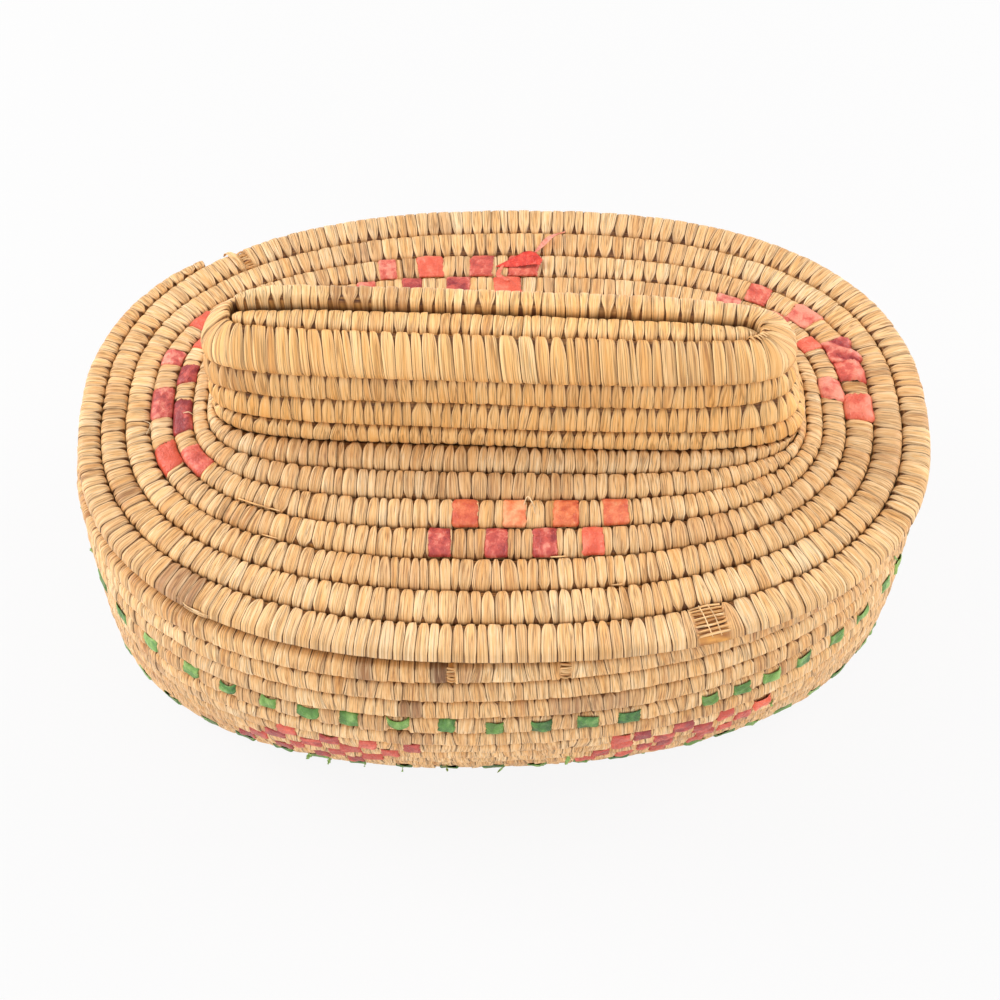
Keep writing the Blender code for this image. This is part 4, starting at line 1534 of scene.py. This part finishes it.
@dataclass
class Lid:
    """The lid with its knob, its flange and its gut.

    Args:
        form: where its coil runs.
        flat_rounds: how many rounds lie outside the knob.
        knob_rounds: how many make the knob's wall.
        core_clear: turns by which the sewn coil stops short of the core.
    """

    form: LidForm = field(default_factory=LidForm)
    flat_rounds: int = 7
    knob_rounds: int = 3
    core_clear: float = 0.06

    def build(self, wardrobe: Wardrobe, basket: BasketForm) -> None:
        """Makes every piece of the lid.

        Args:
            wardrobe: dresses the pieces.
            basket: the basket's form, inside which the flange fits.
        """
        stop = self.form.core_turn - self.core_clear
        covered = tuple((first, last) for row in LID_PATCHES.values() for first, last, _ in row)
        sewn = SewnCoil(
            self.form,
            Sewing(seed=11),
            0.0,
            stop,
            covered=covered,
            # Painted warm bounced light on the knob's lower rows, in the shade under its top ring.
            warm=((0.0, 6.6, 7.6, 9.0, 9.7, 10.5), (0.0, 0.0, 0.75, 0.75, 0.35, 0.1)),
            groups=LID_GROUPS,
            bare=LID_BARE,
            leaning=((9.9, 10.2, 10.32, 10.42, 10.6), (0.0, -0.7, -0.8, -0.5, 0.0)),
            blunt=((6.9, 7.1, 10.6, 10.75), (1.0, 1.05, 1.05, 1.4)),
            free=1.0,
        )
        foot, ring = self.flat_rounds, self.flat_rounds + self.knob_rounds
        for number in range(ring + 1):
            slot = Slot.STRAW if number < foot else Slot.GOLDEN
            node = f"lid_round_{number + 1:02d}" if number < foot else f"knob_wall_round_{ring - number}"
            node, last = (node, number + 1) if number < ring else ("knob_top_round", stop + 0.01)
            wardrobe.sew(node, sewn.surface(number, last), Body.LID, slot)
        self._core(wardrobe)
        self._flange(wardrobe, basket)
        self._gut(sewn, wardrobe)
        stems = tuple(blade for first, last in LID_BARE for blade in bare_stems(first, last))
        grass, tail, flap = (strips(each, self.form) for each in (stems + LID_STRAYS, RED_TAIL, RED_FLAP))
        wardrobe.dress("loose_lid_grass", grass, Body.LID, Slot.STRAW)
        wardrobe.dress("loose_red_tail", tail, Body.LID, Slot.ROSE)
        wardrobe.dress("loose_red_flap", flap, Body.LID, Slot.ROSE, material=BRIGHT.material())

    def _core(self, wardrobe: Wardrobe) -> None:
        """Makes the core along the top of the knob."""
        at = self.form.line(np.array([self.form.core_turn + 0.5]))
        core = CoreForm(
            half_length=self.form.core_half_length,
            half_width=self.form.core_half_width,
            centre=(float(at["shift_x"][0]), float(at["shift_y"][0]), self.form.core_height),
            skew=self.form.knob_skew,
            bulge=self.form.proud,
            inner_bulge=self.form.inner_bulge,
            depth=self.form.thickness - 2 * self.form.proud,
        )
        wardrobe.sew("knob_core", core.sewn(31, 3.8 * MM), Body.LID, Slot.GOLDEN)

    def _flange(self, wardrobe: Wardrobe, basket: BasketForm) -> None:
        """Makes the coil under the lid."""
        form = FlangeForm(lid=self.form, basket=basket)
        sewing = Sewing(seed=41, width=4.4 * MM, low=BLUNT, high=BLUNT, tilt=0.0, tone=0.5)
        sewn = SewnCoil(form, sewing, 0.0, 1.0, loop=True)
        wardrobe.sew("lid_flange", sewn.surface(0.0, 1.0), Body.LID, Slot.STRAW)

    @staticmethod
    def _gut(sewn: SewnCoil, wardrobe: Wardrobe) -> None:
        """Makes the four groups of gut patches, two rows in each."""
        for name, row in LID_PATCHES.items():
            slot = Slot.ORANGE if name == "front_inner" else Slot.ROSE
            patches = [Patch(first, last, **look) for first, last, look in row]
            GutBand(f"gut_lid_{name}", Body.LID, slot, sewn, patches).build(wardrobe)


# Looks of patches that differ from the usual one
PLAIN = {}
CORAL = {"hue": 0.75}
MIXED = {"hue": 0.4}
BRIGHTER = {"tone": 0.7}
PALE = {"tone": 0.66, "hue": 0.2}
FOLDED = {"hue": 0.3, "tone": 0.75, "lift": 0.6 * MM, "crumple": 0.6 * MM, "folds": 2.0}
PUFFED = {"hue": 0.7, "tone": 0.6, "lift": 0.9 * MM, "crumple": 0.6 * MM, "folds": 1.8}
CRUMPLED = {"tone": 0.85, "lift": 1.3 * MM, "crumple": 1.0 * MM, "folds": 2.2}
RUMPLED = {"tone": 0.45, "hue": 0.3, "lift": 1.0 * MM, "crumple": 0.9 * MM, "folds": 2.0}

# Turns between which each patch of gut lies on the lid, and how it looks
LID_PATCHES = {
    "front_outer": (
        (3.34669, 3.35459, PLAIN), (3.36386, 3.36726, PLAIN), (3.37249, 3.37996, PLAIN),
        (3.38843, 3.39683, CORAL),
    ),
    "front_inner": (
        (4.35700, 4.36347, MIXED), (4.36673, 4.37013, BRIGHTER), (4.37709, 4.38558, PLAIN),
        (4.39510, 4.40670, MIXED),
    ),
    "left_outer": (
        (3.024, 3.044, CORAL), (3.073, 3.089, PLAIN), (3.109, 3.127, PLAIN), (3.150, 3.178, CORAL),
    ),
    "left_inner": (
        (4.049, 4.067, CORAL), (4.089, 4.108, PLAIN), (4.117, 4.145, PLAIN), (4.164, 4.200, MIXED),
    ),
    "back_outer": (
        (2.90456, 2.91280, PALE), (2.88457, 2.89538, CORAL), (2.86862, 2.87528, PALE),
        (2.85816, 2.86624, MIXED),
    ),
    "back_inner": (
        (3.91320, 3.92308, PALE), (3.89134, 3.90022, PLAIN), (3.87383, 3.88161, PLAIN),
        (3.86400, 3.86800, CORAL),
    ),
    "right_outer": (
        (2.736, 2.752, MIXED), (2.695, 2.716, FOLDED), (2.648, 2.672, CRUMPLED),
        (2.631, 2.650, RUMPLED), (2.608, 2.622, PUFFED),
    ),
    "right_inner": (
        (3.751, 3.769, PLAIN), (3.709, 3.728, PALE), (3.668, 3.685, CORAL), (3.618, 3.635, FOLDED),
    ),
}

# Runs of darker or greyer stitches, and turns between which a coil is bare
LID_GROUPS = (
    ToneGroup(0.232, 0.255, -0.05, 0.75),
    ToneGroup(0.4372, 0.4440, 0.35, 0.30),
    ToneGroup(1.565, 1.612, 0.42, 0.55),
    ToneGroup(9.3350, 9.3520, 0.30, 0.60),
    ToneGroup(9.3750, 9.3920, 0.30, 0.50),
    ToneGroup(9.4100, 9.4220, 0.30, 0.50),
    ToneGroup(10.882, 10.888, 0.30, 0.60),
    ToneGroup(10.897, 10.922, -0.10, 0.60),
)
LID_BARE = ((0.42446, 0.43723), (0.97750, 0.98150))
WALL_GROUPS = (
    ToneGroup(0.4245, 0.4321, 0.35, 0.60),
    ToneGroup(0.4338, 0.4385, -0.85, 0.30),
    ToneGroup(0.4580, 0.4670, -0.45, 0.40),
    ToneGroup(1.4550, 1.4680, 0.40, 0.50),
    ToneGroup(2.3780, 2.4080, 0.25, 0.80),
    ToneGroup(2.4440, 2.4530, -0.25, 0.60),
    ToneGroup(4.4400, 4.4560, 0.25, 0.60),
)
WALL_BARE = ((0.4020, 0.4045), (0.4321, 0.4338))

# Turns at the middle of each green patch in front, and of each red patch on the wall
GREEN_FRONT = (
    3.668, 3.643, 3.616, 3.592, 3.567, 3.541, 3.521, 3.502, 3.485, 3.469, 3.451, 3.435, 3.421,
    3.410, 3.396, 3.382, 3.351, 3.337, 3.323, 3.306, 3.286, 3.267, 3.245, 3.230,
)
WALL_PATCHES = {
    "front_left": (
        (5.447, 5.463, 5.478, 5.496),
        (6.455, 6.470, 6.486, 6.502),
        (7.462, 7.476, 7.493, 7.511),
        (8.469, 8.483, 8.500, 8.518),
    ),
    "front_right": (
        (5.384, 5.376, 5.360, 5.342, 5.325),
        (6.383, 6.367, 6.351, 6.333),
        (7.390, 7.374, 7.366, 7.349, 7.340),
        (8.395, 8.381, 8.368, 8.352),
    ),
}

# The corner at the back that repeats each one in front, and how many turns further on it is
OPPOSITE = {"front_left": ("back_right", 0.478), "front_right": ("back_left", 0.5)}

# Where each run of the green patches that can't be seen starts and how many it has, the turns
# from one to the next, and the turns from the upper row to the lower one
GREEN_BACK = ((3.02, 11), (3.69, 16))
GREEN_STEP = 0.0185
GREEN_ROWS = 6.0

# How most patches of the wall look, with sag and hue at their most, and those that look otherwise
RED_WALL = {"low": 0.04, "high": 1.0, "tone": 0.06, "hue": 0.7, "sag": 0.14, "crumple": 0.40 * MM}
GREEN_WALL = {"low": 0.20, "high": 1.0, "tone": 0.40, "hue": 0.3, "sag": 0.26, "crumple": 0.42 * MM}
RAISED = {"low": 0.02, "high": 0.66, "tone": 0.55}
WALL_LOOKS = {
    **{turn: RAISED for turn in (3.435, 3.451, 3.469, 3.485, 3.502, 3.521, 3.541, 3.567)},
    5.325: {"low": 0.1, "hue": 1.0, "tone": 0.8, "lift": 1.0 * MM, "crumple": 0.9 * MM},
    5.342: {"tone": 0.35, "crumple": 0.6 * MM},
    3.668: {"hue": 0.9, "tone": 0.8, "lift": 0.8 * MM, "crumple": 0.7 * MM},
    3.230: {"hue": 0.6, "tone": 0.9, "lift": 0.7 * MM, "crumple": 0.6 * MM},
}


def smooth_path(knots: np.ndarray, steps: int) -> np.ndarray:
    """A curve through knots: a cubic between each two whose slopes come from their neighbours.

    Args:
        knots: knots x values.
        steps: how many points each part is given.

    Returns:
        Points x values.
    """
    padded = np.concatenate([2 * knots[:1] - knots[1:2], knots, 2 * knots[-1:] - knots[-2:-1]])
    before, first, last, after = padded[:-3], padded[1:-2], padded[2:-1], padded[3:]
    at = np.linspace(0.0, 1.0, steps, endpoint=False)[None, :, None]
    curve = (
        2 * first[:, None]
        + (last - before)[:, None] * at
        + (2 * before - 5 * first + 4 * last - after)[:, None] * at**2
        + (3 * first - before - 3 * last + after)[:, None] * at**3
    ) / 2
    return np.concatenate([curve.reshape(-1, knots.shape[1]), knots[-1:]])


@dataclass(frozen=True)
class Blade:
    """A loose strip of grass or gut that lies on a coil or bends away from it.

    Args:
        knots: its middle line: turn, share of the row and height over the skin in mm.
        widths: its width in mm at each knot.
        roll: how far it is rolled about its own line, in degrees.
        thick: its thickness in mm.
        cup: how far its edges are raised, in mm.
        crumple: height of its folds, in mm.
        tone: from 0, dark, to 1, pale.
        hue: share of the finish's other colour.
    """

    knots: tuple[Point, ...]
    widths: tuple[float, ...]
    roll: float = 0.0
    thick: float = 0.16
    cup: float = 0.0
    crumple: float = 0.0
    tone: float = 0.6
    hue: float = 0.0

    def surface(self, form: CoilForm, key: float) -> Grid:
        """The strip: an oval carried along its curve, with raised edges and bent waves.

        Args:
            form: the coil it lies on.
            key: where its texture starts.

        Returns:
            A closed grid with the marks of both grass and gut.
        """
        turns, share, lift = np.array(self.knots).T
        outer = np.ones(turns.shape)
        at = form.place(turns, share, outer, lift * MM)
        above = form.place(turns, share, outer, (lift + 1.0) * MM)
        knots = np.column_stack([at, unit(above - at), np.array(self.widths) * MM])
        curve = smooth_path(knots, 8)
        line, upward, width = curve[:, :3], curve[:, 3:6], curve[:, 6]
        ahead = unit(np.gradient(line, axis=0))
        aside = unit(np.cross(ahead, upward))
        upward = np.cross(aside, ahead)
        cos, sin = math.cos(math.radians(self.roll)), math.sin(math.radians(self.roll))
        aside, upward = aside * cos + upward * sin, upward * cos - aside * sin
        angle = np.linspace(0.0, 2 * math.pi, 12, endpoint=False)[None, :]
        far = np.linspace(0.0, 1.0, len(line))[:, None]
        x = np.cos(angle) * width[:, None] / 2
        y = np.sin(angle) * np.minimum(self.thick * MM, width[:, None]) / 2
        y = y + self.cup * MM * np.cos(angle) ** 2
        y = y + self.crumple * MM * np.sin(9 * far + 2.5 * np.cos(angle) + key) * np.cos(4 * far + key)
        points = line[:, None] + aside[:, None] * x[..., None] + upward[:, None] * y[..., None]
        run = np.concatenate([[0.0], np.cumsum(np.linalg.norm(np.diff(line, axis=0), axis=1))]) / MM
        run = run[:, None] + 0.0 * x
        plain = np.zeros(x.shape)
        place = np.stack([x / MM + key, 1.2 * run, plain + key], axis=-1)
        marks = {name: plain for name in ("grey", "golden_tone_and_bounce", "gap", "bare", "rim")}
        marks |= {"tone": plain + self.tone, "hue": plain + self.hue}
        marks |= {"thread": place, "run": place, "skin": place}
        return Grid(points, marks)


def strips(blades: tuple[Blade, ...], form: CoilForm) -> list[Grid]:
    """The surfaces of loose strips on a coil, each with its texture from another place."""
    return [blade.surface(form, 7.0 * number) for number, blade in enumerate(blades)]


def bare_stems(first: float, last: float) -> tuple[Blade, ...]:
    """The stems of the bundle that show where a coil is bare between two turns."""
    rng = np.random.default_rng(int(first * 1e5))
    stems = []
    for share in np.linspace(0.10, 0.92, 8):
        ends, rise = rng.normal(0.0, 0.02, 2), rng.uniform(-0.45, 0.05)
        middle = ((first + last) / 2, share, rise + rng.uniform(0.0, 0.2))
        knots = ((first - 0.0004, share + ends[0], -0.5), middle, (last + 0.0004, share + ends[1], -0.5))
        wide = rng.uniform(0.65, 0.95)
        tone = rng.uniform(0.15, 0.75)
        stems.append(Blade(knots, (wide, wide, wide), thick=0.7, tone=tone))
    return tuple(stems)


def green_tips() -> tuple[Blade, ...]:
    """The loose ends of green gut that stick out of the wall."""
    rng = np.random.default_rng(61)
    places = (
        (8.4358, 0.6), (10.4179, 0.2), (8.4077, 0.9), (10.3707, 0.9), (7.4004, 0.6), (10.4899, 0.35),
        (10.4811, 0.35), (10.4664, 0.35), (10.4519, 0.65), (5.3200, 0.8), (1.6542, 0.5), (1.6449, 0.6),
        (2.6268, 0.6), (3.6635, 0.7), (2.2392, 0.3), (2.2472, 0.9),
    )
    tips = []
    for turn, share in places:
        drift = rng.uniform(-0.002, 0.002)
        reach = rng.uniform(1.4, 2.6) if turn > 4.0 else 0.9
        knots = ((turn, share, 0.1), (turn + drift / 2, share, reach / 2), (turn + drift, share, reach))
        widths = (rng.uniform(2.4, 3.6), rng.uniform(2.0, 3.0), 0.8)
        tips.append(Blade(knots, widths, roll=rng.uniform(-40, 40), crumple=0.35, tone=1.05, hue=0.35))
    return tuple(tips)


# Grass that has come loose on the lid
LID_STRAYS = (
    Blade(((0.4290, 0.04, 0.5), (0.4288, 0.5, 0.6), (0.4291, 0.95, 0.4)), (0.4, 0.4, 0.4), tone=0.9),
    Blade(((0.4325, 0.04, 0.5), (0.4328, 0.5, 0.7), (0.4326, 0.95, 0.4)), (0.5, 0.4, 0.5), tone=0.8),
    Blade(
        ((0.9838, 0.92, 0.2), (0.9842, 0.5, 0.9), (0.9856, 0.05, 1.5), (0.9868, 0.0, 3.0)),
        (1.6, 2.4, 2.2, 1.0),
    ),
    Blade(((3.2400, 0.94, 0.5), (3.2570, 0.90, 0.8), (3.2720, 0.95, 0.5)), (0.6, 0.7, 0.5), thick=0.5),
    Blade(((2.2660, 0.95, 0.4), (2.2710, 0.90, 0.7), (2.2760, 0.97, 0.4)), (0.5, 0.6, 0.4), thick=0.4),
    Blade(((2.3780, 0.92, 0.4), (2.3805, 0.90, 0.6), (2.3830, 0.95, 0.4)), (0.5, 0.7, 0.5), thick=0.5),
    Blade(((1.3985, 0.94, 0.4), (1.4005, 0.90, 0.6), (1.4025, 0.94, 0.4)), (0.5, 0.6, 0.5), thick=0.5),
    Blade(
        ((4.3695, 0.65, 0.6), (4.3701, 0.85, 1.9), (4.3716, 0.60, 1.4), (4.3724, 0.35, 0.6)),
        (0.3, 0.45, 0.45, 0.3),
        tone=1.3,
    ),
    Blade(((2.1273, 0.70, 0.4), (2.1308, 0.90, 1.3), (2.1385, 0.80, 0.5)), (0.3, 0.4, 0.3), tone=1.3),
    Blade(((4.1268, 0.50, 0.4), (4.1280, 0.75, 1.2), (4.1290, 0.95, 0.6)), (0.3, 0.4, 0.3), tone=1.3),
    Blade(
        ((0.2440, 0.02, 0.1), (0.2500, 0.0, 0.4), (0.2570, 0.0, 0.5), (0.2630, 0.0, 0.2)),
        (1.2, 3.2, 3.8, 1.6),
        tone=0.8,
    ),
    Blade(((9.0860, 0.40, 0.2), (9.0866, 0.12, 1.0), (9.0872, 0.0, 1.8)), (1.3, 1.0, 0.4)),
    Blade(((9.0830, 0.45, 0.2), (9.0822, 0.15, 1.1), (9.0810, 0.0, 2.2)), (1.1, 0.9, 0.3), tone=0.8),
    Blade(((8.0749, 0.50, 0.2), (8.0738, 0.20, 0.9), (8.0725, 0.0, 1.7)), (1.2, 0.9, 0.4)),
) + tuple(
    Blade(
        ((turn, 1.0, 0.1), (turn + 0.002, 0.90, 0.8), (turn + 0.004, 0.78, 0.3)),
        (1.3, 1.1, 0.4),
        tone=0.45 + 0.08 * (number % 4),
    )
    for number, turn in enumerate((10.545, 10.560, 10.572, 10.584, 10.596, 10.612, 10.630))
)
# The bright red piece that has come away at the back of the lid, and its pale ends
RED_FLAP = (
    Blade(
        ((2.8680, 0.62, 0.4), (2.8648, 0.50, 1.4), (2.8612, 0.42, 2.6), (2.8574, 0.55, 2.0)),
        (0.6, 4.2, 6.0, 2.6),
        roll=-12.0,
        crumple=0.25,
        tone=0.5,
    ),
)
RED_TAIL = (
    Blade(
        ((2.8592, 0.15, 1.6), (1.8569, 0.80, 2.2), (1.8536, 0.45, 2.4), (1.8489, 0.10, 1.2)),
        (0.8, 2.4, 3.0, 0.5),
        roll=30.0,
        cup=0.5,
        tone=0.95,
    ),
    Blade(
        ((2.8668, 0.60, 1.0), (2.8674, 0.92, 1.0), (3.8662, 0.30, 0.8)),
        (0.8, 1.8, 1.0),
        tone=0.8,
        hue=0.6,
    ),
)


@dataclass
class Basket:
    """The basket under the lid, with its base and its gut.

    Args:
        form: where its coil runs.
        wall_rounds: how many rounds make the wall.
        core_clear: turns by which the sewn coil stops short of the core.
        patch_width: usual width of a patch of gut.
    """

    form: BasketForm = field(default_factory=BasketForm)
    wall_rounds: int = 12
    core_clear: float = 0.3
    patch_width: float = 6.6 * MM

    def build(self, wardrobe: Wardrobe) -> None:
        """Makes every piece of the basket.

        Args:
            wardrobe: dresses the pieces.
        """
        sewing = Sewing(
            width=4.2 * MM,
            spread=0.32,
            lean=-0.03,
            wander=0.18,
            crown=0.10 * MM,
            gap=0.45 * MM,
            notch=0.6 * MM,
            low=Tip(0.80, 0.16, 1.4),
            high=Tip(0.92, 0.10, 2.0),
            tilt=-0.35 * MM,
            tone=0.52,
            seed=21,
        )
        stop = self.form.core_turn - self.core_clear
        sewn = SewnCoil(self.form, sewing, 0.0, stop, bare=WALL_BARE, groups=WALL_GROUPS, free=1.0)
        patches = self._patches(sewn)
        sewn.covered = tuple((patch.start, patch.stop) for _, group in patches.values() for patch in group)
        rounds = math.floor(self.form.core_turn) - 1
        for number in range(rounds):
            base = number + 1 - self.wall_rounds
            node = f"wall_round_{number + 1:02d}" if base < 1 else f"base_round_{base:02d}"
            last = stop + 0.01 if number == rounds - 1 else number + 1
            wardrobe.sew(node, sewn.surface(number, last), Body.BASKET, Slot.STRAW)
        self._core(wardrobe)
        for node, (slot, group) in patches.items():
            GutBand(node, Body.BASKET, slot, sewn, group).build(wardrobe)
        stems = tuple(blade for first, last in WALL_BARE for blade in bare_stems(first, last))
        grass, tips = strips(stems, self.form), strips(green_tips(), self.form)
        wardrobe.dress("loose_wall_grass", grass, Body.BASKET, Slot.STRAW)
        wardrobe.dress("loose_green_tips", tips, Body.BASKET, Slot.GREEN)

    def _core(self, wardrobe: Wardrobe) -> None:
        """Makes the core in the middle of the base."""
        at = self.form.line(np.array([self.form.core_turn + 0.5]))
        core = CoreForm(
            half_length=float(at["half_length"][0]),
            half_width=self.form.core_half_width,
            centre=(0.0, 0.0, float(at["height"][0])),
            skew=self.form.skew,
            up=-1,
            bulge=self.form.proud,
            depth=self.form.thickness - 2 * self.form.proud,
            power=2.6,
        )
        wardrobe.sew("base_core", core.sewn(51, 4.2 * MM), Body.BASKET, Slot.STRAW)

    def _row(self, sewn: SewnCoil, middles: tuple[float, ...], usual: dict) -> list[Patch]:
        """Patches of about the usual width around these turns, most of them with the usual look."""
        patches, rng = [], np.random.default_rng(int(middles[0] * 1e3))
        bent = np.random.default_rng(int(middles[0] * 1e3) + 1)
        for middle in middles:
            half = 0.5 * self.patch_width * rng.uniform(0.8, 1.2)
            reach = sewn.reach_of(middle) + np.array([-half, half])
            first, last = np.interp(reach, sewn.travelled, sewn.fine)
            drawn = {name: bent.uniform(0.0, usual[name]) for name in ("sag", "hue")}
            drawn["slant"] = bent.normal(0.0, 0.08)
            look = usual | drawn | WALL_LOOKS.get(middle, {})
            patches.append(Patch(float(first), float(last), **look))
        return patches

    def _patches(self, sewn: SewnCoil) -> dict[str, tuple[Slot, list[Patch]]]:
        """The patches of the checkers at the four corners and of the two green rows."""
        made = {}
        for corner, (opposite, further) in OPPOSITE.items():
            for order, middles in enumerate(WALL_PATCHES[corner]):
                shifted = tuple(turn + further for turn in middles)
                made[f"gut_wall_{corner}_{order + 1}"] = (Slot.ROSE, self._row(sewn, middles, RED_WALL))
                made[f"gut_wall_{opposite}_{order + 1}"] = (Slot.ROSE, self._row(sewn, shifted, RED_WALL))
        back = [first + GREEN_STEP * number for first, count in GREEN_BACK for number in range(count)]
        upper = GREEN_FRONT + tuple(back)
        lower = tuple(turn + GREEN_ROWS for turn in upper)
        made["gut_wall_green_upper"] = (Slot.GREEN, self._row(sewn, upper, GREEN_WALL))
        made["gut_wall_green_lower"] = (Slot.GREEN, self._row(sewn, lower, GREEN_WALL))
        return made


@dataclass(frozen=True)
class Lamp:
    """A square soft lamp that faces a point.

    Args:
        name: its name.
        place: where it stands.
        size: its side.
        energy: its power in watts.
        target: the point that it faces.
    """

    name: str
    place: Point
    size: float
    energy: float
    target: Point = (0.0, 0.0, 0.05)

    def build(self) -> None:
        """Makes the lamp."""
        light = bpy.data.lights.new(self.name, "AREA")
        light.size = self.size
        light.energy = self.energy
        lamp = link(self.name, light)
        away = np.array(self.place) - np.array(self.target)
        flat = math.hypot(away[0], away[1])
        lamp.location = self.place
        lamp.rotation_euler = (math.atan2(flat, away[2]), 0.0, math.atan2(away[0], -away[1]))


@dataclass(frozen=True)
class Studio:
    """The floor, the sky, the lamps and the camera.

    Args:
        paper: the floor's own colour.
        reach: half the floor's side.
        glow: the white that the camera sees on the floor.
        glow_share: how much of what it sees there is that white. The rest is lit.
        sky_light: how strongly the sky lights the scene.
        sky_white: how white the camera sees the sky.
        lamps: the lamps.
        camera_place: where the camera stands.
        camera_tilt: how far it is turned up from looking straight down.
        lens: its focal length in mm, for a sensor 36 mm wide.
    """

    paper: Colour = (0.90, 0.90, 0.90, 1.0)
    reach: float = 6.0
    glow: Colour = (0.955, 0.953, 0.953, 1.0)
    glow_share: float = 0.94
    sky_light: float = 0.70
    sky_white: float = 0.965
    lamps: tuple[Lamp, ...] = (
        Lamp("top_lamp", (0.0, 0.15, 1.5), 1.3, 3.4, (0.0, 0.0, 0.0)),
        Lamp("left_lamp", (-1.3, 0.35, 0.75), 0.8, 19.0),
        Lamp("right_lamp", (1.3, 0.35, 0.75), 0.8, 15.0),
        Lamp("front_lamp", (0.0, -1.45, 0.5), 0.9, 6.6),
    )
    camera_place: Point = (0.0001, -0.4370, 0.6828)
    camera_tilt: float = math.radians(35.0)
    lens: float = 73.55

    def build(self) -> None:
        """Makes the studio."""
        self._floor()
        self._world()
        for lamp in self.lamps:
            lamp.build()
        self._camera()

    def _floor(self) -> None:
        """A wide sheet of white paper. Seen straight on it is mostly plain white."""
        side = self.reach
        corners = [(-side, -side, 0.0), (side, -side, 0.0), (side, side, 0.0), (-side, side, 0.0)]
        mesh = bpy.data.meshes.new("floor")
        mesh.from_pydata(corners, [], [(0, 1, 2, 3)])
        material, graph, shader = new_material("paper")
        graph.feed(shader, Base_Color=self.paper, Roughness=0.9, Specular_IOR_Level=0.1)
        glow = graph.add("ShaderNodeEmission", Color=self.glow, Strength=1.0)
        path = graph.add("ShaderNodeLightPath")
        share = graph.math("MULTIPLY", path.outputs["Is Camera Ray"], self.glow_share)
        mixed = graph.add("ShaderNodeMixShader", i0=share, i1=shader.outputs[0], i2=glow.outputs[0])
        graph.feed(material.node_tree.nodes["Material Output"], Surface=mixed.outputs[0])
        mesh.materials.append(material)
        floor = link("floor", mesh)

    def _world(self) -> None:
        """An even white sky, which looks white to the camera whatever light it gives."""
        world = bpy.data.worlds.new("studio")
        bpy.context.scene.world = world
        world.use_nodes = True
        graph = Graph(world.node_tree)
        seen = graph.add("ShaderNodeLightPath").outputs["Is Camera Ray"]
        strength = graph.mix_value(seen, self.sky_light, self.sky_white)
        graph.feed(world.node_tree.nodes["Background"], Color=(1.0, 1.0, 1.0, 1.0), Strength=strength)

    def _camera(self) -> None:
        """The photo's viewpoint: high in front, looking 55 degrees down."""
        data = bpy.data.cameras.new("camera")
        data.lens = self.lens
        data.clip_start, data.clip_end = 0.05, 20.0
        camera = link("camera", data)
        camera.location = self.camera_place
        camera.rotation_euler = (self.camera_tilt, 0.0, 0.0)
        bpy.context.scene.camera = camera


def main() -> None:
    """Builds the looks of the whole basket."""
    logging.basicConfig(level=logging.INFO, format="%(name)s %(message)s")
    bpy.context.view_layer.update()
    bpy.context.scene.view_settings.view_transform = "Standard"
    wardrobe = Wardrobe({slot: finish.material() for slot, finish in FINISHES.items()})
    basket = Basket()
    basket.build(wardrobe)
    Lid().build(wardrobe, basket.form)
    Studio().build()
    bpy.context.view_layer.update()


if __name__ == "__main__":
    main()
